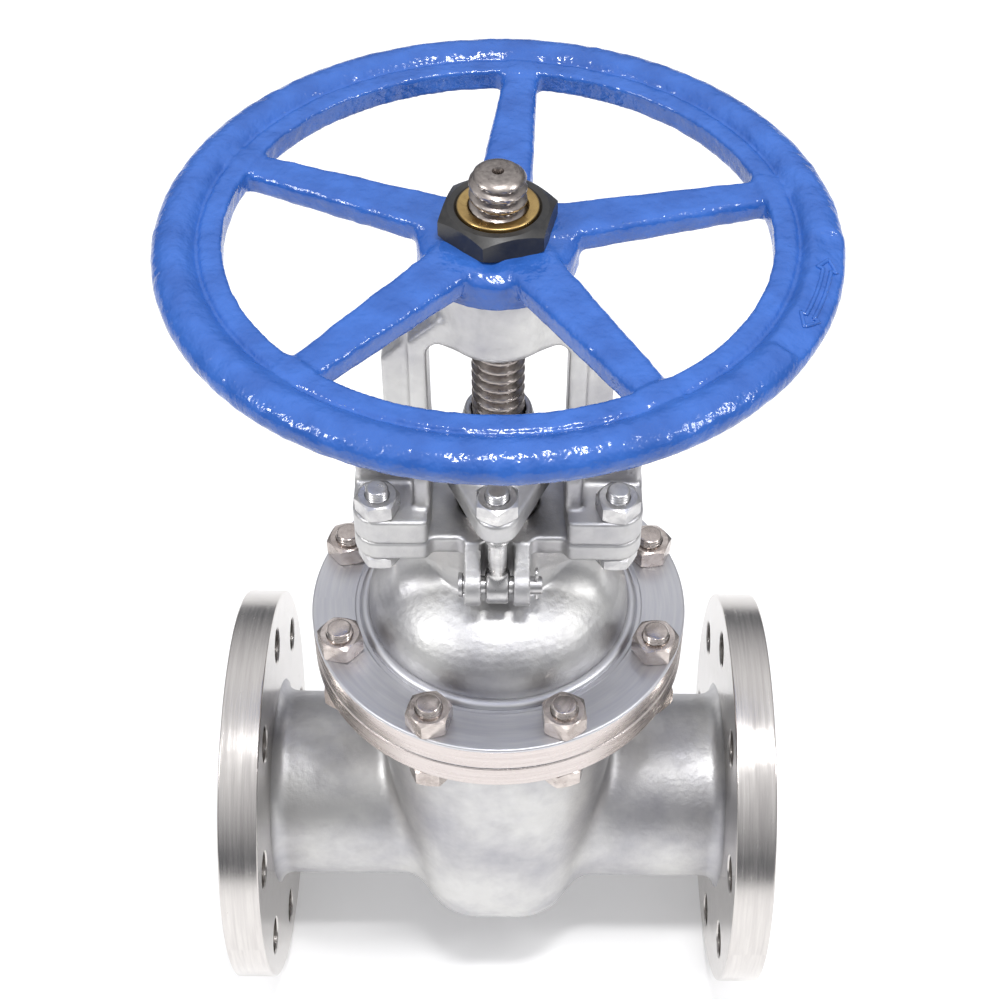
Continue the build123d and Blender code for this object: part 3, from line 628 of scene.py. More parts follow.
# --- Finishes -----------------------------------------------------------------------------------
@dataclass
class Nodes:
    """Adds nodes to a shader tree."""

    tree: bpy.types.NodeTree

    def add(self, kind: str, inputs: dict | None = None, **settings: object) -> bpy.types.Node:
        """Make a node.

        Args:
            kind: The node's type without its ShaderNode prefix.
            inputs: Sockets by name or number, each a socket to link or a value to set.
            **settings: The node's own properties.

        Returns:
            The node.
        """
        node = self.tree.nodes.new("ShaderNode" + kind)
        for name, value in settings.items():
            setattr(node, name, value)
        for name, value in (inputs or {}).items():
            if isinstance(value, Socket):
                self.tree.links.new(value, node.inputs[name])
            else:
                node.inputs[name].default_value = value
        return node

    def math(self, operation: str, a: object, b: object = 0.0) -> Socket:
        """One sum on two values."""
        return self.add("Math", {0: a, 1: b}, operation=operation).outputs[0]

    def mix(self, factor: object, a: object, b: object) -> Socket:
        """A colour between two.

        Args:
            factor: How much of the second colour.
            a: The first colour, a socket or a value.
            b: The second colour.

        Returns:
            The mixed colour's socket.
        """
        node = self.add("Mix", {"Factor": factor}, data_type="RGBA")
        for socket, value in ((node.inputs[6], a), (node.inputs[7], b)):
            if isinstance(value, Socket):
                self.tree.links.new(value, socket)
            else:
                socket.default_value = (*value, 1.0)
        return node.outputs[2]

    def span(self, value: object, low: float, high: float, new_low: float, new_high: float) -> Socket:
        """Stretch a value from one range to another, clamped."""
        inputs = {"Value": value, "From Min": low, "From Max": high, "To Min": new_low, "To Max": new_high}
        return self.add("MapRange", inputs).outputs[0]

    def noise(self, vector: object, size: float, detail: float = 2.0, roughness: float = 0.5) -> Socket:
        """Noise whose features are about this many metres across."""
        inputs = {"Vector": vector, "Scale": 1 / size, "Detail": detail, "Roughness": roughness}
        return self.add("TexNoise", inputs).outputs["Fac"]


Fill = Callable[[Nodes, Socket], Sequence[Socket]]


def node_group(name: str, outputs: Sequence[str], fill: Fill) -> bpy.types.NodeTree:
    """A shader node group that takes a Vector and puts out values, built once.

    Args:
        name: The group's name.
        outputs: Names of its values.
        fill: Builds the inside from the Vector and returns one socket for each output.

    Returns:
        The group.
    """
    known = bpy.data.node_groups.get(name)
    if known is not None:
        return known
    tree = bpy.data.node_groups.new(name, "ShaderNodeTree")
    tree.interface.new_socket("Vector", in_out="INPUT", socket_type="NodeSocketVector")
    for output in outputs:
        tree.interface.new_socket(output, in_out="OUTPUT", socket_type="NodeSocketFloat")
    way_in, way_out = tree.nodes.new("NodeGroupInput"), tree.nodes.new("NodeGroupOutput")
    for output, socket in zip(outputs, fill(Nodes(tree), way_in.outputs["Vector"])):
        tree.links.new(socket, way_out.inputs[output])
    return tree


def cast_skin() -> bpy.types.NodeTree:
    """The blasted skin of an investment casting: Height of its grain and dents, and Mottle of its tone."""

    def fill(nodes: Nodes, vector: Socket) -> Sequence[Socket]:
        """Fine grain under 1 mm, dents of 2 mm and blotches of 50 mm.

        Args:
            nodes: Adds nodes to the group's tree.
            vector: Where the noises are read.

        Returns:
            One socket for each output.
        """
        grain = nodes.noise(vector, 0.0006, 3.0, 0.6)
        dents = nodes.noise(vector, 0.0022, 1.0, 0.4)
        mottle = nodes.noise(vector, 0.05, 5.0, 0.6)
        height = nodes.math("ADD", nodes.math("MULTIPLY", grain, 0.5), nodes.math("MULTIPLY", dents, 0.9))
        return height, mottle

    return node_group("cast_skin", ("Height", "Mottle"), fill)


def tool_marks() -> bpy.types.NodeTree:
    """Rings that a turning tool leaves round the Z line: Height of the rings, Streak of their shine, which
    also paints reflection bands into the tone.
    """

    def fill(nodes: Nodes, vector: Socket) -> Sequence[Socket]:
        """Noise of radius and height only, and the same with a slow drift round the circle.

        Args:
            nodes: Adds nodes to the group's tree.
            vector: Where the noises are read.

        Returns:
            One socket for each output.
        """
        parts = nodes.add("SeparateXYZ", {0: vector})
        x, y, z = parts.outputs
        squares = nodes.math("ADD", nodes.math("MULTIPLY", x, x), nodes.math("MULTIPLY", y, y))
        radius = nodes.math("SQRT", squares)
        flat = nodes.add("CombineXYZ", {"X": radius, "Y": z, "Z": 0.0}).outputs[0]
        rings = nodes.noise(flat, 0.00035, 2.0, 0.6)
        drift = nodes.math("MULTIPLY", nodes.math("ARCTAN2", y, x), 0.004)
        swept = nodes.add("CombineXYZ", {"X": radius, "Y": z, "Z": drift}).outputs[0]
        streak = nodes.noise(swept, 0.0016, 3.0, 0.6)
        return rings, streak

    return node_group("tool_marks", ("Height", "Streak"), fill)


def thick_paint() -> bpy.types.NodeTree:
    """Enamel run over a rough casting: Height of its lumps and orange peel, Pool where it lies thicker."""

    def fill(nodes: Nodes, vector: Socket) -> Sequence[Socket]:
        """Lumps of 5 mm and 2 mm, peel under 1 mm and pools of 15 mm.

        Args:
            nodes: Adds nodes to the group's tree.
            vector: Where the noises are read.

        Returns:
            One socket for each output.
        """
        lumps = nodes.noise(vector, 0.0048, 2.0, 0.5)
        nubs = nodes.noise(vector, 0.0022, 1.0, 0.5)
        peel = nodes.noise(vector, 0.0007, 1.0, 0.5)
        height = nodes.math("ADD", lumps, nodes.math("MULTIPLY", nubs, 0.42))
        height = nodes.math("ADD", height, nodes.math("MULTIPLY", peel, 0.07))
        return height, nodes.noise(vector, 0.015, 3.0, 0.5)

    return node_group("thick_paint", ("Height", "Pool"), fill)


def handling() -> bpy.types.NodeTree:
    """Faint smears and fine rubbing from handling: Smear, between 0 and 1."""

    def fill(nodes: Nodes, vector: Socket) -> Sequence[Socket]:
        """A stretched, distorted noise of some 12 mm with a sharper one of 3 mm over it.

        Args:
            nodes: Adds nodes to the group's tree.
            vector: Where the noises are read.

        Returns:
            One socket for each output.
        """
        wide = nodes.add("TexNoise", {"Vector": vector, "Scale": 80.0, "Detail": 4.0, "Distortion": 1.2})
        fine = nodes.noise(vector, 0.003, 4.0, 0.65)
        return (nodes.math("MULTIPLY", wide.outputs["Fac"], nodes.math("ADD", fine, 0.5)),)

    return node_group("handling", ("Smear",), fill)


@dataclass(frozen=True)
class Finish:
    """What all finishes share: a name and a Principled shader on Object coordinates."""

    name: str

    def material(self) -> bpy.types.Material:
        """The finish's material, built once.

        Returns:
            The material.
        """
        known = bpy.data.materials.get(self.name)
        if known is not None:
            return known
        paint = bpy.data.materials.new(self.name)
        paint.use_nodes = True
        paint.node_tree.nodes.clear()
        nodes = Nodes(paint.node_tree)
        place = nodes.add("TexCoord").outputs["Object"]
        shader = nodes.add("BsdfPrincipled")
        nodes.add("OutputMaterial", {"Surface": shader.outputs[0]})
        self.dress(nodes, place, shader)
        return paint

    def dress(self, nodes: Nodes, place: Socket, shader: bpy.types.Node) -> None:
        """Feed the shader; each finish has its own way."""
        raise NotImplementedError

    def bump(self, nodes: Nodes, shader: bpy.types.Node, height: object, depth: float) -> None:
        """Raise the surface by a height between 0 and 1 times a depth in millimetres."""
        inputs = {"Height": height, "Distance": depth * MM, "Strength": 1.0}
        nodes.tree.links.new(nodes.add("Bump", inputs).outputs[0], shader.inputs["Normal"])


@dataclass(frozen=True)
class CastSteel(Finish):
    """Satin blasted stainless casting."""

    light: Colour = (0.60, 0.595, 0.585)
    dark: Colour = (0.38, 0.375, 0.40)
    roughness: Point = (0.40, 0.54)
    depth: float = 0.14

    def dress(self, nodes: Nodes, place: Socket, shader: bpy.types.Node) -> None:
        """Mottled tone and roughness over a grainy skin.

        Args:
            nodes: Adds nodes to the material's tree.
            place: Object coordinates.
            shader: The Principled shader to feed.
        """
        skin = nodes.add("Group", {}, node_tree=cast_skin())
        marks = nodes.add("Group", {}, node_tree=handling())
        for node in (skin, marks):
            nodes.tree.links.new(place, node.inputs["Vector"])
        tone = nodes.span(skin.outputs["Mottle"], 0.34, 0.62, 0.0, 1.0)
        nodes.tree.links.new(nodes.mix(tone, self.dark, self.light), shader.inputs["Base Color"])
        rough = nodes.span(marks.outputs["Smear"], 0.25, 0.75, *self.roughness)
        nodes.tree.links.new(rough, shader.inputs["Roughness"])
        shader.inputs["Metallic"].default_value = 1.0
        self.bump(nodes, shader, skin.outputs["Height"], self.depth)


@dataclass(frozen=True)
class TurnedSteel(Finish):
    """Stainless from the lathe: rings round its line, with painted reflection streaks in its tone."""

    about: Turning = Turning.STEM
    light: Colour = (0.64, 0.615, 0.59)
    dark: Colour = (0.52, 0.495, 0.48)
    roughness: Point = (0.16, 0.28)
    depth: float = 0.03

    def dress(self, nodes: Nodes, place: Socket, shader: bpy.types.Node) -> None:
        """Rings in the bump, streaks in roughness, and the same streaks painted into the tone as reflection
        bands.

        Args:
            nodes: Adds nodes to the material's tree.
            place: Object coordinates.
            shader: The Principled shader to feed.
        """
        parts = nodes.add("SeparateXYZ", {0: place})
        x, y, z = parts.outputs
        if self.about is Turning.PIPE:
            lifted = nodes.math("SUBTRACT", z, PIPE_Z * MM)
            place = nodes.add("CombineXYZ", {"X": y, "Y": lifted, "Z": x}).outputs[0]
        rings = nodes.add("Group", {}, node_tree=tool_marks())
        marks = nodes.add("Group", {}, node_tree=handling())
        for node in (rings, marks):
            nodes.tree.links.new(place, node.inputs["Vector"])
        # painted reflection: lighter and darker streaks in the base colour stand in for the streaky
        # highlights of turned metal
        tone = nodes.span(rings.outputs["Streak"], 0.3, 0.7, 0.0, 1.0)
        nodes.tree.links.new(nodes.mix(tone, self.dark, self.light), shader.inputs["Base Color"])
        smear = nodes.math("ADD", marks.outputs["Smear"], 0.5)
        shine = nodes.math("MULTIPLY", rings.outputs["Streak"], smear)
        rough = nodes.span(shine, 0.2, 0.8, *self.roughness)
        nodes.tree.links.new(rough, shader.inputs["Roughness"])
        shader.inputs["Metallic"].default_value = 1.0
        self.bump(nodes, shader, rings.outputs["Height"], self.depth)


@dataclass(frozen=True)
class PlainMetal(Finish):
    """Bright, blackened or yellow metal with a fine surface and handling marks."""

    light: Colour = (0.64, 0.58, 0.545)
    dark: Colour = (0.40, 0.35, 0.325)
    roughness: Point = (0.16, 0.30)
    metallic: float = 1.0
    depth: float = 0.012
    grain: float = 0.0005

    def dress(self, nodes: Nodes, place: Socket, shader: bpy.types.Node) -> None:
        """Smears in tone and roughness over a faint grain.

        Args:
            nodes: Adds nodes to the material's tree.
            place: Object coordinates.
            shader: The Principled shader to feed.
        """
        marks = nodes.add("Group", {}, node_tree=handling())
        nodes.tree.links.new(place, marks.inputs["Vector"])
        tone = nodes.span(marks.outputs["Smear"], 0.3, 0.7, 0.0, 1.0)
        nodes.tree.links.new(nodes.mix(tone, self.light, self.dark), shader.inputs["Base Color"])
        nodes.tree.links.new(nodes.span(tone, 0.0, 1.0, *self.roughness), shader.inputs["Roughness"])
        shader.inputs["Metallic"].default_value = self.metallic
        self.bump(nodes, shader, nodes.noise(place, self.grain, 3.0, 0.6), self.depth)


@dataclass(frozen=True)
class Enamel(Finish):
    """Thick glossy enamel over a rough casting."""

    light: Colour = (0.029, 0.112, 0.42)
    dark: Colour = (0.019, 0.083, 0.335)
    depth: float = 0.62

    def dress(self, nodes: Nodes, place: Socket, shader: bpy.types.Node) -> None:
        """Lumps under a clear gloss, deeper blue where the paint pools.

        Args:
            nodes: Adds nodes to the material's tree.
            place: Object coordinates.
            shader: The Principled shader to feed.
        """
        paint = nodes.add("Group", {}, node_tree=thick_paint())
        marks = nodes.add("Group", {}, node_tree=handling())
        for node in (paint, marks):
            nodes.tree.links.new(place, node.inputs["Vector"])
        tone = nodes.span(paint.outputs["Pool"], 0.35, 0.65, 0.0, 1.0)
        nodes.tree.links.new(nodes.mix(tone, self.light, self.dark), shader.inputs["Base Color"])
        rough = nodes.span(marks.outputs["Smear"], 0.25, 0.75, 0.12, 0.24)
        nodes.tree.links.new(rough, shader.inputs["Roughness"])
        shader.inputs["Specular IOR Level"].default_value = 0.6
        self.bump(nodes, shader, paint.outputs["Height"], self.depth)


@dataclass(frozen=True)
class PaleFloor(Finish):
    """The plain pale floor."""

    tone: Colour = (0.93, 0.93, 0.93)

    def dress(self, nodes: Nodes, place: Socket, shader: bpy.types.Node) -> None:
        """A trace of tone in a dull white.

        Args:
            nodes: Adds nodes to the material's tree.
            place: Object coordinates.
            shader: The Principled shader to feed.
        """
        drift = nodes.span(nodes.noise(place, 0.4, 2.0), 0.3, 0.7, 0.97, 1.0)
        nodes.tree.links.new(nodes.mix(drift, (0.9, 0.9, 0.9), self.tone), shader.inputs["Base Color"])
        shader.inputs["Roughness"].default_value = 0.9
        shader.inputs["Emission Color"].default_value = (1.0, 1.0, 1.0, 1.0)
        shader.inputs["Emission Strength"].default_value = 0.15


CASTING = CastSteel("blasted_casting")
FACING = TurnedSteel(
    "turned_flange_faces", light=(0.66, 0.66, 0.67), dark=(0.56, 0.56, 0.60), roughness=(0.38, 0.50)
)
PIPE_RIMS = TurnedSteel("turned_end_flanges", about=Turning.PIPE)
RIM_BAND = TurnedSteel(
    "turned_joint_rims", light=(0.63, 0.575, 0.55), dark=(0.53, 0.475, 0.455), roughness=(0.22, 0.34)
)
SPINDLE = TurnedSteel(
    "stem_steel", light=(0.44, 0.40, 0.37), dark=(0.24, 0.21, 0.20), roughness=(0.24, 0.38), depth=0.01
)
GROUND = TurnedSteel("ground_steel")
BRIGHT = PlainMetal("handled_fasteners")
SATIN = PlainMetal(
    "satin_fasteners", light=(0.68, 0.67, 0.66), dark=(0.46, 0.455, 0.46), roughness=(0.24, 0.38)
)
BLACK = PlainMetal(
    "black_oxide", light=(0.014, 0.014, 0.015), dark=(0.03, 0.029, 0.028), roughness=(0.30, 0.48),
    metallic=0.0, depth=0.03,
)
BRASS = PlainMetal("worn_brass", light=(0.62, 0.43, 0.17), dark=(0.42, 0.28, 0.11), roughness=(0.22, 0.38))
GRAPHITE = PlainMetal(
    "pressed_graphite", light=(0.03, 0.03, 0.032), dark=(0.06, 0.06, 0.062), roughness=(0.4, 0.6),
    metallic=0.0,
)
BLUE = Enamel("lumpy_enamel")

JOINT_STUDS = circle_places(77.2, 8, 22.5)
YOKE_BOLT_X = 51.0
YOKE_BOLT_Y = 20.0
YOKE_BOLTS = [(side * YOKE_BOLT_X, row * YOKE_BOLT_Y) for side, row in ((-1, -1), (1, -1), (1, 1), (-1, 1))]


def joint_drills(low: float, high: float) -> list[Shell]:
    """Drills for the joint's stud holes between two heights."""
    hole = drill_profile(JOINT_HOLE, low, high, 0.4)
    return [lathe(hole, centre=spot, columns=HOLE_COLUMNS) for spot in JOINT_STUDS]


def bolt_clearance(x: Array, y: Array) -> Array:
    """Distance to the four upright holes for the yoke's bolts."""
    return np.hypot(np.abs(x) - YOKE_BOLT_X, np.abs(y) - YOKE_BOLT_Y) - YOKE_HOLE


# --- The valve's sub-assemblies -----------------------------------------------------------------
@dataclass
class ValveBody:
    """The cast body, its machined end flanges and its machined bonnet flange."""

    bore: float = 40.0
    neck: float = 47.2
    chamber_x: float = 40.0
    chamber_r: float = 69.0
    outer_edge: float = 30.0
    inner_edge: float = 23.0
    neck_fillet: float = 8.5
    pad_r: float = 62.0
    pad_fillet: float = 7.0
    disc_r: float = 70.0
    disc_fillet: float = 5.0
    rail_half: float = 4.0
    rail_y: float = 46.3
    rail_z: Point = (75.0, 212.0)
    pocket_r: float = 44.0
    pocket_x: float = 44.0
    top_x: float = 65.0
    top_y: float = 65.0
    flare_z: float = 80.0
    flare_top: float = 205.0
    joint_z: float = 222.0
    joint_bore: float = 54.0
    groove_r: float = 64.2
    groove_depth: float = 3.0
    wall: float = 8.0
    flange_back: float = 113.0
    flange_face: float = 132.0
    raised_face: float = 135.0
    flange_r: float = 100.0
    raised_r: float = 69.0
    bolt_circle_r: float = 80.0
    bolt_hole: float = 9.0
    joint_top: float = 234.0

    def chamber(self, x: Array, y: Array, z: Array, inset: float, edge: float) -> Array:
        """The wedge chamber: a slab-shaped drum across the pipe below, flaring to near a circle at the joint.

        Across, it is a rounded rectangle of x and of the distance from the pipe's line, whose half widths
        and corner grow in a line with height up to the flare's top.

        Args:
            x: Where along the pipe.
            y: Where towards the rear.
            z: How high.
            inset: How far inside the outside surface.
            edge: The section's corner radius below the flare.

        Returns:
            The distances, negative inside.
        """
        climb = np.clip((z - self.flare_z) / (self.flare_top - self.flare_z), 0, 1)
        half_x = self.chamber_x + (self.top_x - self.chamber_x) * climb - inset
        half_y = self.chamber_r + (self.top_y - self.chamber_r) * climb - inset
        corner = edge + (self.top_x - 1 - inset - edge) * climb
        depth = np.hypot(y, np.minimum(z - PIPE_Z, 0))
        return rounded_rectangle(x, depth, half_x, half_y, corner)

    def solid(self, x: Array, y: Array, z: Array) -> Array:
        """The casting: chamber and necks with soft fillets, pads inside the flanges, less cavity and bore.

        Args:
            x: Where along the pipe.
            y: Where towards the rear.
            z: How high.

        Returns:
            The distances, negative in the metal.
        """
        pipe = np.hypot(y, z - PIPE_Z)
        neck = np.maximum(pipe - self.neck, np.abs(x) - self.flange_back - 8)
        outside = round_union(self.chamber(x, y, z, 0, self.outer_edge), neck, self.neck_fillet)
        pads = np.maximum(pipe - self.pad_r, self.flange_back + SKIN - np.abs(x))
        outside = round_union(outside, pads, self.pad_fillet)
        disc = np.maximum(np.hypot(x, y) - self.disc_r, self.joint_z + SKIN - z)
        outside = round_union(outside, disc, self.disc_fillet)
        cast_top = self.joint_top - self.groove_depth - 0.2
        ends = np.maximum(np.abs(x) - self.flange_face + 2, z - cast_top)
        outside = np.maximum(outside, ends)
        inside = self.chamber(x, y, z, self.wall, self.inner_edge)
        rails = np.maximum(np.abs(x) - self.rail_half, self.rail_y - np.abs(y))
        rails = np.maximum(rails, slab(z, *self.rail_z))
        bore = pipe - np.where(np.abs(x) > self.flange_back + 1, self.bore + 2, self.bore)
        pocket = np.maximum(pipe - self.pocket_r, np.abs(x) - self.pocket_x)
        hollow = np.minimum(np.maximum(inside, -rails), np.minimum(bore, pocket))
        return np.maximum(outside, -hollow)

    def casting(self) -> None:
        """Build the cast body."""
        reach = self.flange_face
        cast = Casting(self.solid, (-reach, -72, 28), (reach, 72, 234), 1.75, 0.10, 14.0)
        piece = new_piece("body_casting", [cast.shell()], None)
        settle(piece, Body.FIXED, "cast_stainless", CASTING.material(), "body")

    def end_flanges(self) -> None:
        """Turn both end flanges, with a serrated raised face and eight bolt holes."""
        serrations = np.linspace(self.raised_r - 1.5, self.bore + 1.5, 90)
        depth = 0.12 * (1 - np.cos(np.arange(len(serrations)) * math.pi / 1.5))
        face = np.stack([serrations, self.raised_face - depth], axis=1)
        back, front, raised = self.flange_back, self.flange_face, self.raised_face
        rim = soften(
            ((self.bore, back), (self.flange_r, back), (self.flange_r, front), (self.raised_r, front)),
            (0.2, 1.0, 1.0, 0.8),
        )
        outline = np.concatenate(
            [rim, [(self.raised_r, raised - 0.7), (self.raised_r - 0.7, raised)], face,
             [(self.bore + 0.7, raised), (self.bore, raised - 0.7)]]
        )
        hole = drill_profile(self.bolt_hole, back, front, 0.7)
        for side, name in ((-1, "left"), (1, "right")):
            spots = circle_places(self.bolt_circle_r, 8, 22.5)
            mirrored = outline * (1, side)
            drills = [lathe(hole * (1, side), Turning.PIPE, (y, PIPE_Z + z), 40) for y, z in spots]
            turned = lathe(mirrored, Turning.PIPE, (0, PIPE_Z), FLANGE_COLUMNS)
            disc = new_piece(f"end_flange_{name}", [turned])
            even_shading(drilled(disc, drills))
            settle(disc, Body.FIXED, "cast_stainless", PIPE_RIMS.material(), "body")

    def joint_flange(self) -> None:
        """Turn the body's half of the bonnet joint with its gasket groove and stud holes."""
        low, high, groove = self.joint_z, self.joint_top, self.joint_top - self.groove_depth
        outline = soften(
            ((self.joint_bore, low), (JOINT_R, low), (JOINT_R, high),
             (self.groove_r, high), (self.groove_r, groove), (self.joint_bore, groove)),
            (0.3, 1.2, 0.8, 0.3, 0.3, 0.3),
        )
        disc = new_piece("body_joint_flange", [lathe(outline, columns=FLANGE_COLUMNS)])
        ring = drilled(disc, joint_drills(low, high))
        even_shading(ring)
        settle(ring, Body.FIXED, "cast_stainless", RIM_BAND.material(), "body")

    def build(self) -> None:
        """Build the body."""
        self.casting()
        self.end_flanges()
        self.joint_flange()


@dataclass
class JointBolting:
    """Studs and nuts of the bonnet joint."""

    across_flats: float = 18.5
    nut_height: float = 10.0
    upper_z: float = 248.0
    lower_z: float = 222.0
    nut_bore: float = 5.5
    stud: Thread = Thread(6.0, 0.85, 1.75)
    stud_ends: Point = (209.0, 261.6)
    stud_plain: Point = (219.0, 251.0)
    stud_round: float = 1.6
    stud_turn: float = 40.0
    upper_turns: tuple[float, ...] = (8, 25, 41, 12, 50, 14, 36, 3)
    lower_turns: tuple[float, ...] = (15, 40, 22, 5, 31, 52, 18, 44)

    def build(self) -> None:
        """Build eight studs, eight upper nuts and eight lower nuts."""
        rod = self.stud.shell(*self.stud_ends, self.stud_plain, self.stud_round, ROD_COLUMNS, THREAD_ROWS)
        rods = [moved(rod, x, y, 0, self.stud_turn * index) for index, (x, y) in enumerate(JOINT_STUDS)]
        studs = new_piece("bonnet_studs_threaded", rods)
        settle(studs, Body.FIXED, "bright_fasteners", BRIGHT.material(), "bonnet_studs")
        for name, bottom, turns in (
            ("upper", self.upper_z, self.upper_turns),
            ("lower", self.lower_z - self.nut_height, self.lower_turns),
        ):
            nut = hexagon(self.across_flats, bottom, bottom + self.nut_height, self.nut_bore)
            nuts = [moved(nut, x, y, 0, turn) for (x, y), turn in zip(JOINT_STUDS, turns)]
            piece = even_shading(new_piece(f"bonnet_{name}_hex_nuts", nuts, FLAT_CREASE))
            settle(piece, Body.FIXED, "bright_fasteners", BRIGHT.material(), f"bonnet_nuts_{name}")


@dataclass
class Bonnet:
    """The domed bonnet with its machined flange, platform, ears and eyebolt lugs."""

    flange_low: float = 234.8
    flange_high: float = 248.0
    tongue_low: float = 232.5
    tongue_bore: float = 51.5
    tongue_r: float = 64.0
    bead_r: float = 61.6
    rim_wrap: float = 0.05
    dome_r: float = 60.0
    dome_z: float = 252.0
    neck_r: float = 26.0
    neck_z: float = 286.0
    platform_low: float = 307.0
    platform_high: float = 317.0
    ear_x: float = 62.0
    ear_y: float = 29.0
    ear_inner: float = 29.5
    ear_corner: float = 11.0
    strip_y: float = 25.0
    web_x: float = 55.0
    web_y: float = 11.0
    web_low: float = 262.0
    lug_r: float = 9.0
    lug_x: Point = (7.0, 14.2)
    lug_root: tuple[Point, ...] = ((14, 290), (34, 289.1), (43.6, 299), (41, 304), (27.5, 317), (14, 317))
    pin_y: float = 35.0
    pin_hole: float = 4.1
    cavity_wall: float = 7.8
    packing_r: float = 18.0
    packing_low: float = 283.0
    backseat_r: float = 16.0
    backseat_low: float = 268.0

    def dome_outline(self, inset: float) -> Array:
        """The dome's half section: up the wall, over a quarter of an ellipse to the neck, up the neck.

        Args:
            inset: How far inside the outside surface.

        Returns:
            Points of (radius, height).
        """
        turn = np.radians(np.linspace(0, 82, 16))
        radius = self.dome_r - inset
        rise = self.neck_z - self.dome_z - inset
        sweep = np.stack([radius * np.cos(turn), self.dome_z + rise * np.sin(turn)], axis=1)
        sweep = sweep[sweep[:, 0] > self.neck_r - inset * 0.5]
        low = np.array([(0, self.flange_low + 6), (radius, self.flange_low + 6)])
        top = np.array([(self.neck_r - inset * 0.5, self.neck_z - inset), (0, self.neck_z - inset)])
        return np.concatenate([low, sweep, top])

    def ears(self, x: Array, y: Array) -> Array:
        """Plan of the platform: a strip across the neck and a round-cornered pad at each side.

        Args:
            x: Where along the pipe.
            y: Where towards the rear.

        Returns:
            The distances, negative inside.
        """
        middle = rounded_rectangle(x, y, self.ear_inner + 6, self.strip_y, 4.0)
        width = (self.ear_x - self.ear_inner) / 2
        pad = self.pad(x, y, width)
        return round_union(middle, pad, 3)

    def pad(self, x: Array, y: Array, width: float) -> Array:
        """Plan of a pad: a rectangle with large corners outside and small ones beside the neck.

        Args:
            x: Where along the pipe.
            y: Where towards the rear.
            width: Half the pad's width along the pipe.

        Returns:
            The distances, negative inside.
        """
        from_middle = np.abs(x) - self.ear_inner - width
        corner = np.where(from_middle > 0, self.ear_corner, 3.0)
        return rounded_rectangle(from_middle, y, width, self.ear_y, corner)

    def lugs(self, x: Array, y: Array, z: Array) -> Array:
        """Two plates beside each eyebolt: a round end at the pin joined to a root under the platform.

        Args:
            x: Where along the pipe.
            y: Where towards the rear.
            z: How high.

        Returns:
            The distances, negative in the metal.
        """
        y = np.abs(y)
        end = np.hypot(y - self.pin_y, z - EYEBOLT_PIN_Z) - self.lug_r
        root = outline_distance(y, z, np.array(self.lug_root, float))
        return round_meet(np.minimum(end, root), slab(np.abs(x), *self.lug_x), 1.0)

    def solid(self, x: Array, y: Array, z: Array) -> Array:
        """The casting: dome and neck, platform, webs under the ears and lugs, less the hollow inside.

        Args:
            x: Where along the pipe.
            y: Where towards the rear.
            z: How high.

        Returns:
            The distances, negative in the metal.
        """
        radius = np.hypot(x, y)
        dome = outline_distance(radius, z, self.dome_outline(0))
        neck = np.maximum(radius - self.neck_r, slab(z, self.neck_z - 10, self.platform_high))
        dome = round_union(dome, neck, 5)
        platform = round_meet(self.ears(x, y), slab(z, self.platform_low, self.platform_high), 1.6)
        web_end = np.abs(x) - (self.web_x - (self.platform_low - z) * 0.3)
        web = np.maximum(web_end, slab(z, self.web_low, self.platform_low + 3))
        web = round_meet(web, np.abs(y) - self.web_y, 3)
        outside = round_union(round_union(dome, web, 12), platform, 4)
        outside = round_union(outside, self.lugs(x, y, z), 3.5)
        outside = np.maximum(outside, z - self.platform_high)
        cavity = outline_distance(radius, z, self.dome_outline(self.cavity_wall))
        box = np.maximum(radius - self.packing_r, self.packing_low - z)
        seat = np.maximum(radius - self.backseat_r, self.backseat_low - z)
        holes = np.maximum(bolt_clearance(x, y), self.platform_low - 7 - z)
        pins = np.hypot(np.abs(y) - self.pin_y, z - EYEBOLT_PIN_Z) - self.pin_hole
        pins = np.maximum(pins, np.abs(x) - self.lug_x[1] - 2.8)
        hollow = np.minimum(np.minimum(cavity, box), np.minimum(seat, np.minimum(holes, pins)))
        return np.maximum(outside, -hollow)

    def casting(self) -> None:
        """Build the cast bonnet."""
        cast = Casting(self.solid, (-64, -63, 238), (64, 63, 320), 1.15, 0.08, 12.0)
        piece = new_piece("bonnet_casting", [cast.shell()], CAST_CREASE)
        settle(piece, Body.FIXED, "cast_stainless", CASTING.material(), "bonnet")

    def flange(self) -> None:
        """Turn the bonnet's flange, with the tongue below and a bead round the dome's foot."""
        low, high, foot = self.flange_low, self.flange_high, self.bead_r
        plate = soften(
            ((self.tongue_bore, self.tongue_low), (self.tongue_r, self.tongue_low), (self.tongue_r, low),
             (JOINT_R, low), (JOINT_R, high),
             (foot + 5.2, high), (foot + 4.8, high - 0.4), (foot + 3, high - 0.4)),
            (0.2, 0.3, 0.3, 0.6, 1.2, 0.3, 0.3, 0.3),
        )
        bead = arc((foot, high - 0.6), 2.9, 5, 165, 14)
        outline = np.concatenate([plate, bead, [(self.tongue_bore, high - 1)]])
        disc = new_piece("bonnet_flange", [lathe(outline, columns=FLANGE_COLUMNS)])
        ring = drilled(disc, joint_drills(low, high))
        even_shading(ring)
        settle(ring, Body.FIXED, "cast_stainless", FACING.material(), "bonnet")
        inner, outer = JOINT_R - 1.5, JOINT_R + self.rim_wrap
        bottom, top = low + 0.6, high - 1.4
        band = soften(((inner, bottom), (outer, bottom), (outer, top), (inner, top)), 0.1)
        rim = new_piece("bonnet_flange_rim", [lathe(band, columns=FLANGE_COLUMNS)])
        settle(rim, Body.FIXED, "cast_stainless", RIM_BAND.material(), "bonnet")

    def build(self) -> None:
        """Build the bonnet."""
        self.casting()
        self.flange()


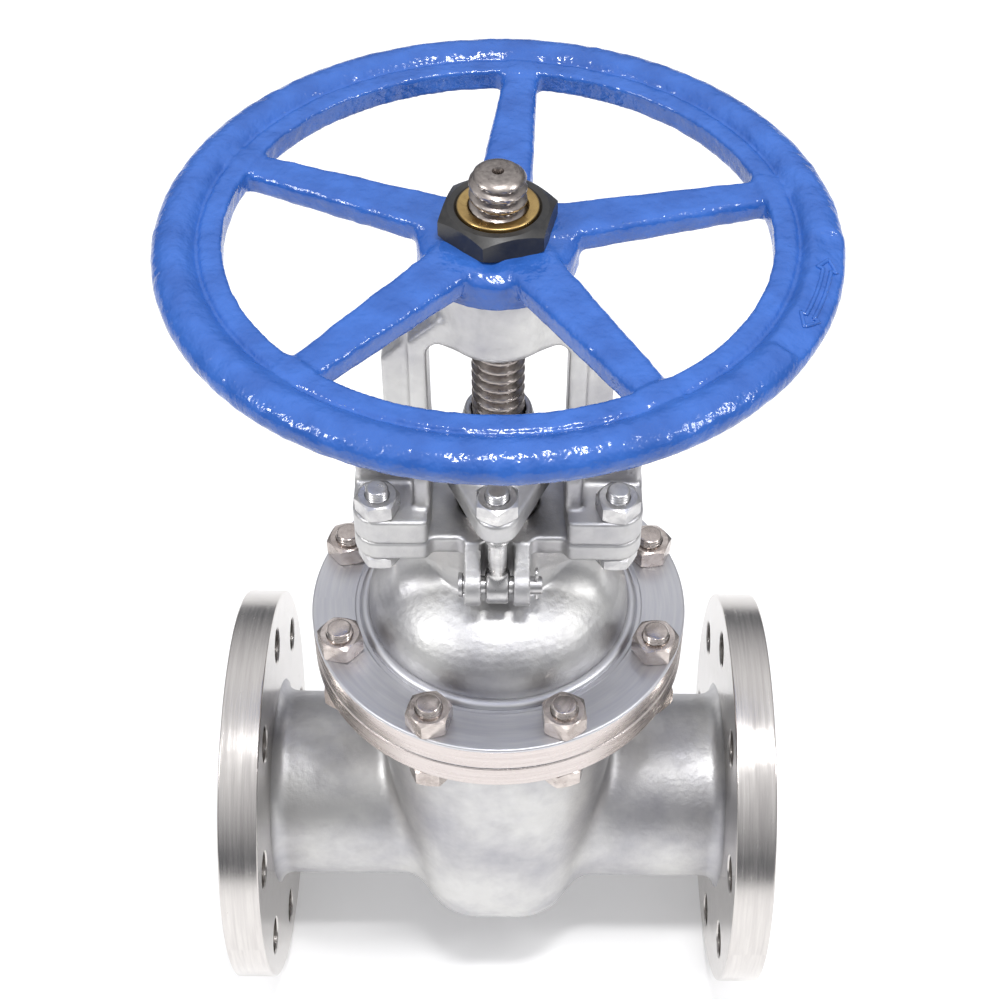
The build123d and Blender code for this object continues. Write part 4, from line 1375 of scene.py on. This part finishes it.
@dataclass
class GlandSet:
    """The gland flange with its swing eyebolts, pins, cotters and nuts."""

    low: float = 333.5
    high: float = 344.7
    hub_top: float = 371.0
    reach: float = 35.0
    middle_r: float = 24.0
    end_r: float = 9.5
    hub_r: float = 20.0
    hub_narrowing: float = 6.0
    stem_hole: float = 11.6
    bolt_hole: float = 5.5
    eye_r: float = 8.0
    eye_half: float = 5.0
    eye_hole: float = 4.0
    shank_r: float = 4.1
    bolt: Thread = Thread(5.0, 0.75, 1.5)
    nut_flats: float = 17.0
    nut_height: float = 8.4
    nut_bore: float = 4.6
    nut_turn: float = 31.0
    cotter_x: float = 16.9
    wire_r: float = 0.75

    def flange_solid(self, x: Array, y: Array, z: Array) -> Array:
        """An oval plate, the hull of three circles, with a tapered hub, less the stem's and bolts' holes.

        Args:
            x: Where along the pipe.
            y: Where towards the rear.
            z: How high.

        Returns:
            The distances, negative in the metal.
        """
        plan = two_circle_hull(x, y, self.middle_r, self.end_r, self.reach)
        plate = round_meet(plan, slab(z, self.low, self.high), 2.2)
        radius = np.hypot(x, y)
        taper = radius - (self.hub_r - (z - self.high) * self.hub_narrowing / (self.hub_top - self.high))
        hub = round_meet(taper, slab(z, self.low + 4, self.hub_top), 1.2)
        holes = np.minimum(radius - self.stem_hole, np.hypot(x, np.abs(y) - self.reach) - self.bolt_hole)
        return np.maximum(round_union(plate, hub, 3.5), -holes)

    def eyebolt_solid(self, x: Array, y: Array, z: Array) -> Array:
        """An eye across X with a shank that rises from it, less the pin's hole.

        Args:
            x: Where along the pipe.
            y: Where towards the rear.
            z: How high.

        Returns:
            The distances, negative in the metal.
        """
        from_pin = np.hypot(y, z - EYEBOLT_PIN_Z)
        eye = round_meet(from_pin - self.eye_r, np.abs(x) - self.eye_half, 1.4)
        shank = np.maximum(np.hypot(x, y) - self.shank_r, slab(z, EYEBOLT_PIN_Z, 329))
        return np.maximum(round_union(eye, shank, 2.5), self.eye_hole - from_pin)

    def cotter_path(self, y: float) -> Array:
        """A split pin's line: up one leg, round the eye and down the other leg.

        Args:
            y: The eyebolt's place towards the rear.

        Returns:
            The line's points, (n, 3).
        """
        eye = arc((y, EYEBOLT_PIN_Z + 7.6), 2.0, -62, 242, 18)
        ring = np.concatenate([np.full((len(eye), 1), self.cotter_x), eye], axis=1)
        spread = np.linspace(0, 1, 8)[:, None]
        legs = []
        for side in (1, -1):
            foot = np.array([self.cotter_x, y + side * 1.5, EYEBOLT_PIN_Z - 6.8])
            root = np.array([self.cotter_x, y + side * 0.5, EYEBOLT_PIN_Z + 5.2])
            bend = np.array([0, -side * 0.9, 0]) * np.sin(spread * math.pi / 2)
            legs.append(foot + (root - foot) * spread + bend * (1 - spread))
        return np.concatenate([legs[0], ring, legs[1][::-1]])

    def build(self) -> None:
        """Build the gland flange and what holds it down, front and rear."""
        plate = Casting(self.flange_solid, (-26, -46, 329), (26, 46, 373), 0.8, 0.05, 6.0)
        piece = new_piece("gland_flange_casting", [plate.shell()], CAST_CREASE)
        settle(piece, Body.FIXED, "cast_stainless", CASTING.material(), "gland_flange")
        eye = Casting(self.eyebolt_solid, (-6, -9.5, 288), (6, 9.5, 331), 0.6).shell()
        top = self.bolt.shell(326.0, 357.0, (320, 327), 1.4, ROD_COLUMNS, THREAD_ROWS)
        nut = hexagon(self.nut_flats, self.high, self.high + self.nut_height, self.nut_bore)
        hinge = soften(
            ((0, -17), (5.5, -17), (5.5, -15), (4, -15), (4, 19.5), (0, 19.5)),
            (0.1, 0.6, 0.4, 0.2, 0.6, 0.1),
        )
        for side, name in ((-1, "front"), (1, "rear")):
            y = side * self.reach
            bright = SATIN.material()
            bolt = new_piece(f"swing_bolt_{name}", [moved(eye, 0, y), moved(top, 0, y)], CAST_CREASE)
            settle(bolt, Body.FIXED, "bright_fasteners", bright, f"eyebolt_{name}")
            turned = moved(nut, 0, y, 0, self.nut_turn)
            gland_nut = even_shading(new_piece(f"gland_hex_nut_{name}", [turned], FLAT_CREASE))
            settle(gland_nut, Body.FIXED, "bright_fasteners", bright, f"eyebolt_nut_{name}")
            rod = lathe(hinge, Turning.PIPE, (y, EYEBOLT_PIN_Z), ROD_COLUMNS)
            pin = new_piece(f"hinge_pin_{name}", [rod])
            settle(pin, Body.FIXED, "bright_fasteners", bright, f"eyebolt_pin_{name}")
            split = new_piece(f"split_pin_{name}", [tube(self.cotter_path(y), self.wire_r)])
            settle(split, Body.FIXED, "bright_fasteners", bright, f"cotter_{name}")


@dataclass
class Yoke:
    """The yoke, its bolts, and the retainer over the stem nut."""

    foot_low: float = 317.0
    foot_high: float = 330.0
    window_x: float = 28.5
    window_top: float = 415.0
    arm_spread: float = 366.0
    boss_r: float = 23.5
    boss_low: float = 413.0
    boss_high: float = 446.0
    arm_y: float = 12.0
    arm_flare: float = 7.5
    rib_y: float = 4.0
    sleeve_r: float = 19.0
    sleeve_low: float = 421.0
    stem_hole: float = 13.0
    bolt: Thread = Thread(5.0, 0.75, 1.5)
    hex_flats: float = 17.0
    nut_height: float = 8.4
    nut_bore: float = 4.6
    nut_turns: tuple[float, ...] = (10, 47, 33, 22)

    def solid(self, x: Array, y: Array, z: Array) -> Array:
        """The casting: arms, webs, feet and boss joined with fillets, less the window and the bores.

        Args:
            x: Where along the pipe.
            y: Where towards the rear.
            z: How high.

        Returns:
            The distances, negative in the metal.
        """
        side = np.abs(x)
        bonnet = Bonnet()
        width = (bonnet.ear_x - bonnet.ear_inner) / 2
        foot = round_meet(bonnet.pad(x, y, width), slab(z, self.foot_low, self.foot_high), 1.2)
        arm_line = np.array([(0, 320), (36, 320), (36, 416), (23.5, 427), (0, 427)], float)
        half = self.arm_y + self.arm_flare * np.clip((self.arm_spread - z) / 22, 0, 1)
        arm = round_meet(outline_distance(side, z, arm_line), np.abs(y) - half, 2)
        sweep = arc((75.3, 374.0), 27.8, 180, 242, 12)
        above, below = [(0, 425), (23.5, 425), (47.5, 400)], [(61, 330), (61, 325), (0, 325)]
        rib_line = np.concatenate([above, sweep, below])
        rib = round_meet(outline_distance(side, z, rib_line), np.abs(y) - self.rib_y, 1.6)
        frame_part = round_union(round_union(arm, rib, 4), foot, 2.5)
        window = rounded_rectangle(x, z - (self.window_top - 60), self.window_x, 60, 6)
        frame_part = round_meet(frame_part, -window, 2)
        radius = np.hypot(x, y)
        boss = round_meet(radius - self.boss_r, slab(z, self.boss_low, self.boss_high + 8), 6)
        whole = np.maximum(round_union(frame_part, boss, 5), z - self.boss_high)
        whole = np.maximum(whole, self.foot_low - z)
        bore = np.minimum(np.maximum(radius - self.sleeve_r, self.sleeve_low - z), radius - self.stem_hole)
        holes = np.maximum(bolt_clearance(x, y), z - 350)
        return np.maximum(whole, -np.minimum(bore, holes))

    def build(self) -> None:
        """Build the yoke, its four bolts and nuts, and the retainer."""
        cast = Casting(self.solid, (-64, -31, 314), (64, 31, 449), 1.15, 0.08, 12.0)
        piece = new_piece("yoke_casting", [cast.shell()], CAST_CREASE)
        settle(piece, Body.FIXED, "cast_stainless", CASTING.material(), "yoke")
        shank = self.bolt.shell(301.6, 342.8, (300, 331), 1.4, ROD_COLUMNS, THREAD_ROWS)
        head = hexagon(self.hex_flats, 300.6, 307.0, 0.0)
        shells = [moved(shank, x, y) for x, y in YOKE_BOLTS] + [moved(head, x, y) for x, y in YOKE_BOLTS]
        bolts = even_shading(new_piece("yoke_hex_bolts", shells, 30))
        settle(bolts, Body.FIXED, "bright_fasteners", SATIN.material(), "yoke_bolts")
        nut = hexagon(self.hex_flats, self.foot_high, self.foot_high + self.nut_height, self.nut_bore)
        turned_nuts = [moved(nut, x, y, 0, turn) for (x, y), turn in zip(YOKE_BOLTS, self.nut_turns)]
        nuts = even_shading(new_piece("yoke_hex_nuts", turned_nuts, FLAT_CREASE))
        settle(nuts, Body.FIXED, "bright_fasteners", SATIN.material(), "yoke_nuts")
        wall, lip, top = self.sleeve_r, 22.4, self.boss_high
        outline = soften(
            ((15.86, 431.2), (wall, 431.2), (wall, top), (lip, top), (lip, top + 1.4), (15.86, top + 1.4)),
            (0.2, 0.3, 0.2, 0.3, 0.4, 0.3),
        )
        cap = new_piece("stem_nut_retainer", [lathe(outline)])
        settle(cap, Body.FIXED, "blackened_steel", BLACK.material(), "yoke_nut_retainer")


@dataclass
class RisingStem:
    """The stem: a left-hand trapezoidal thread above a plain shank, collar, neck and tee."""

    thread: Thread = Thread(11.0, 2.6, 5.0, -1, 1.7)
    top: float = 490.0

    def foot_solid(self, x: Array, y: Array, z: Array) -> Array:
        """Tee, neck, backseat collar and the start of the shank.

        Args:
            x: Where along the pipe.
            y: Where towards the rear.
            z: How high.

        Returns:
            The distances, negative in the metal.
        """
        radius = np.hypot(x, y)
        tee = round_meet(rounded_rectangle(x, y, 12, 9, 1.5), slab(z, 148.3, 157), 0.8)
        line = (
            (0, 150), (8, 150), (8, 170), (11, 173), (11, 178),
            (15, 178), (15, 186), (10.9, 190), (10.9, 206), (0, 206),
        )
        return np.minimum(tee, outline_distance(radius, z, soften(line, 0.5, 3)))

    def build(self) -> None:
        """Build the stem with its centre hole."""
        foot = Casting(self.foot_solid, (-17, -17, 146), (17, 17, 208), 0.9).shell()
        rod = self.thread.shell(200.0, self.top, (150, 334), 4.6, 96, 20)
        stem = new_piece("threaded_stem", [rod], CAST_CREASE)
        centre = np.array([(0, 484), (1.6, 484), (1.6, 488.6), (3.4, 492), (0, 492)], float)
        stem = drilled(stem, [lathe(centre, columns=HOLE_COLUMNS)], 40)
        foot_piece = new_piece("stem_foot", [foot], CAST_CREASE)
        for piece in (stem, foot_piece):
            settle(piece, Body.STEM, "machined_stainless", SPINDLE.material(), "stem")


@dataclass
class Wheel:
    """The enamelled handwheel with its nut, the brass stem nut and the raised arrow."""

    azimuth: float = 13.5
    spoke_middle: float = 459.5
    spoke_half: float = 5.2
    spoke_corner: float = 3.4
    hub_half: float = 11.0
    rim_half: float = 6.8
    hub_reach: float = 24.0
    rim_reach: float = 112.0
    panel_middle: float = -19.0
    panel_half: float = 15.5
    panel_radius: float = 123.5
    panel_z: float = 466.2
    panel_fall: float = 0.28
    bore: float = 15.9
    wire_r: float = 0.85
    nut_flats: float = 41.0
    nut_z: Point = (463.0, 474.0)
    nut_turn: float = 17.0

    def rim_outline(self) -> Array:
        """The rim's section: a flat inner band, a narrow groove and an oval outer bead.

        Returns:
            Points of (radius, height).
        """
        bead = arc((0, 0), 1.0, 142, -142, 26) * (9.0, 7.5) + (122.0, 460.8)
        inner = [(104.2, 456.2), (104.2, 465.8), (112.0, 465.8), (113.4, 464.4)]
        return np.concatenate([bead, soften([(113.0, 456.0), *inner], [1.0, 1.6, 1.2, 0.6, 0.6], 3)])

    def hub_outline(self) -> Array:
        """The hub's section: a thick disc with a bevelled top edge."""
        line = ((0, 448.6), (31.2, 448.6), (31.2, 460), (27, 463), (0, 463))
        return soften(line, (0.1, 1.4, 1.6, 1.2, 0.1), 4)

    def panel(self, x: Array, y: Array, z: Array, radius: Array) -> Array:
        """Distance above the shallow panel that is let into the rim's bead, lifted away beyond its ends.

        Args:
            x: Where along the pipe.
            y: Where towards the rear.
            z: How high.
            radius: The distance from the stem's line.

        Returns:
            The distances, negative below the panel.
        """
        turn = np.degrees(np.arctan2(y, x)) - self.panel_middle
        past = np.clip((np.abs(turn) - self.panel_half) / 2.2, 0, 1)
        return z - self.panel_z + self.panel_fall * (radius - self.panel_radius) - 5 * past**2

    def solid(self, x: Array, y: Array, z: Array) -> Array:
        """The casting: hub, rim and five spokes joined with fillets, less the bore.

        The azimuth is folded into one fifth of a turn, so a single tapered spoke stands for all five.

        Args:
            x: Where along the pipe.
            y: Where towards the rear.
            z: How high.

        Returns:
            The distances, negative in the metal.
        """
        radius = np.hypot(x, y)
        fifth = 2 * math.pi / 5
        turn = np.arctan2(y, x) - math.radians(self.azimuth)
        turn = turn - fifth * np.round(turn / fifth)
        out, aside = radius * np.cos(turn), np.abs(radius * np.sin(turn))
        taper = (out - self.hub_reach) / (self.rim_reach - self.hub_reach)
        half = self.hub_half + (self.rim_half - self.hub_half) * taper
        spoke = rounded_rectangle(aside, z - self.spoke_middle, half, self.spoke_half, self.spoke_corner)
        spoke = np.maximum(spoke, out - self.rim_reach - 2)
        hub = outline_distance(radius, z, self.hub_outline())
        rim = outline_distance(radius, z, self.rim_outline())
        rim = round_meet(rim, self.panel(x, y, z, radius), 0.6)
        whole = round_union(round_union(spoke, hub, 2.4), rim, 3.0)
        return np.maximum(whole, self.bore - radius)

    def arrow(self) -> Shell:
        """A raised outline of a double-ended arrow: a bead along its edge, lying on the panel.

        The outline is drawn along the arc and across it, and laid on the panel's slope.

        Returns:
            The shell.
        """
        half = [(0, 1.5), (14.0, 1.5), (14.0, 3.6), (20.0, 0), (14.0, -3.6), (14.0, -1.5)]
        corners = np.array(half + [(-along, -across) for along, across in half])
        edge = np.concatenate([corners, corners[:1]])
        steps = np.linspace(0, 1, 12, endpoint=False)[None, :, None]
        line = (edge[:-1, None] * (1 - steps) + edge[1:, None] * steps).reshape(-1, 2)
        radius = self.panel_radius + 0.6 + line[:, 1]
        turn = math.radians(self.panel_middle) + line[:, 0] / self.panel_radius
        height = self.panel_z - self.panel_fall * (radius - self.panel_radius)
        path = np.stack([radius * np.cos(turn), radius * np.sin(turn), height], axis=1)
        along = np.roll(path, -1, axis=0) - np.roll(path, 1, axis=0)
        along /= np.linalg.norm(along, axis=1, keepdims=True)
        up = np.array([0, 0, 1.0])
        aside = np.cross(along, up)
        sides = 10
        angle = np.arange(sides) * 2 * math.pi / sides
        offset = aside[:, None] * np.cos(angle)[:, None] + up * np.sin(angle)[:, None]
        return grid_shell(path[:, None] + self.wire_r * offset, True)

    def build(self) -> None:
        """Build the wheel, its nut and the stem nut."""
        cast = Casting(self.solid, (-134, -134, 444), (134, 134, 472), 1.1, 0.22, 4.5)
        blue = BLUE.material()
        for name, shell in (("handwheel_casting", cast.shell()), ("raised_arrow", self.arrow())):
            settle(new_piece(name, [shell], None), Body.WHEEL, "blue_enamel", blue, "handwheel")
        nut = moved(hexagon(self.nut_flats, *self.nut_z, self.bore, 192), turn=self.nut_turn)
        lock = even_shading(new_piece("handwheel_hex_nut", [nut], FLAT_CREASE))
        settle(lock, Body.WHEEL, "blackened_steel", BLACK.material(), "handwheel_nut")
        outline = soften(
            ((11.2, 422.6), (18.4, 422.6), (18.4, 429.6), (15.8, 429.6), (15.8, 475), (11.2, 475)),
            (0.8, 0.4, 0.4, 0.3, 0.9, 0.9),
        )
        sleeve = even_shading(new_piece("brass_stem_nut", [lathe(outline)]))
        settle(sleeve, Body.WHEEL, "brass", BRASS.material(), "stem_nut")


@dataclass
class InnerPieces:
    """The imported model's own inner pieces, which keep their shape and get a finish."""

    graphite: tuple[str, ...] = ("bonnet_gasket", *(f"packing_ring_{number}" for number in range(1, 5)))
    ground: tuple[str, ...] = (
        "backseat_bush", "packing_washer", "gland",
        "thrust_washer_lower", "thrust_washer_upper", "handwheel_key",
    )
    pipe_ground: tuple[str, ...] = ("seat_ring_left", "seat_ring_right", "wedge")

    def build(self) -> None:
        """Dress each inner piece."""
        groups = ((self.graphite, GRAPHITE), (self.ground, GROUND), (self.pipe_ground, PIPE_RIMS))
        for names, finish in groups:
            for name in names:
                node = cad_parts[name]
                node.data.materials.clear()
                node.data.materials.append(finish.material())
                log.info("%s: %s", name, finish.name)


# --- Studio -------------------------------------------------------------------------------------
@dataclass
class Studio:
    """Floor, soft light and camera."""

    camera_place: Point3 = (0.0066, -0.5414, 0.8793)
    camera_turn: Point3 = (43.80, 0.0, 0.62)
    lens: float = 64.05

    def floor(self) -> None:
        """A wide pale floor."""
        half, low = 4000.0, -0.05
        points = np.array([(-half, -half, low), (half, -half, low), (half, half, low), (-half, half, low)])
        mesh = bpy.data.meshes.new("floor")
        mesh.from_pydata(points * MM, [], [(0, 1, 2, 3)])
        plane = bpy.data.objects.new("floor", mesh)
        bpy.context.scene.collection.objects.link(plane)
        mesh.materials.append(PaleFloor("pale_floor").material())

    def world(self) -> None:
        """A sky that is bright above and grey towards the horizon, so that metal has something to show."""
        world = bpy.data.worlds.new("studio")
        bpy.context.scene.world = world
        world.use_nodes = True
        world.node_tree.nodes.clear()
        nodes = Nodes(world.node_tree)
        height = nodes.add("SeparateXYZ", {0: nodes.add("TexCoord").outputs["Generated"]}).outputs[2]
        shade = nodes.mix(nodes.span(height, 0.2, 0.85, 0.0, 1.0), (0.20, 0.205, 0.22), (1.0, 1.0, 1.02))
        sky = nodes.add("Background", {"Color": shade, "Strength": 1.0})
        nodes.add("OutputWorld", {"Surface": sky.outputs[0]})

    def softbox(self, name: str, place: Point3, size: Point, power: float) -> None:
        """A rectangular light that faces the valve's middle.

        Args:
            name: The light's name.
            place: Where it stands, in metres.
            size: Its width and height in metres.
            power: Its power in watts.
        """
        light = bpy.data.lights.new(name, "AREA")
        light.shape = "RECTANGLE"
        light.size, light.size_y = size
        light.energy = power
        lamp = bpy.data.objects.new(name, light)
        bpy.context.scene.collection.objects.link(lamp)
        lamp.location = place
        lamp.rotation_euler = (Vector((0, 0, 0.28)) - Vector(place)).to_track_quat("-Z", "Y").to_euler()

    def camera(self) -> None:
        """The camera, looking down on the valve from the front."""
        lens = bpy.data.cameras.new("camera")
        lens.lens = self.lens
        lens.sensor_width = 36.0
        view = bpy.data.objects.new("camera", lens)
        bpy.context.scene.collection.objects.link(view)
        view.location = self.camera_place
        view.rotation_euler = [math.radians(angle) for angle in self.camera_turn]
        bpy.context.scene.camera = view

    def build(self) -> None:
        """Set up the studio."""
        self.floor()
        self.world()
        self.softbox("left_box", (-1.15, -0.55, 1.3), (0.12, 0.45), 8.0)
        self.softbox("right_box", (1.15, -0.45, 1.3), (0.12, 0.45), 7.0)
        self.softbox("front_box", (0.10, -0.40, 1.75), (0.30, 0.12), 12.0)
        self.camera()
        bpy.context.scene.view_settings.view_transform = "Standard"


def main() -> None:
    """Build every sub-assembly in order, then the studio."""
    logging.basicConfig(level=logging.INFO, format="%(name)s %(message)s")
    Studio().build()
    assemblies = (
        ValveBody(), JointBolting(), Bonnet(), GlandSet(), Yoke(), RisingStem(), Wheel(), InnerPieces()
    )
    for assembly in assemblies:
        log.info("building %s", type(assembly).__name__)
        assembly.build()
    bpy.context.view_layer.update()


if __name__ == "__main__":
    main()
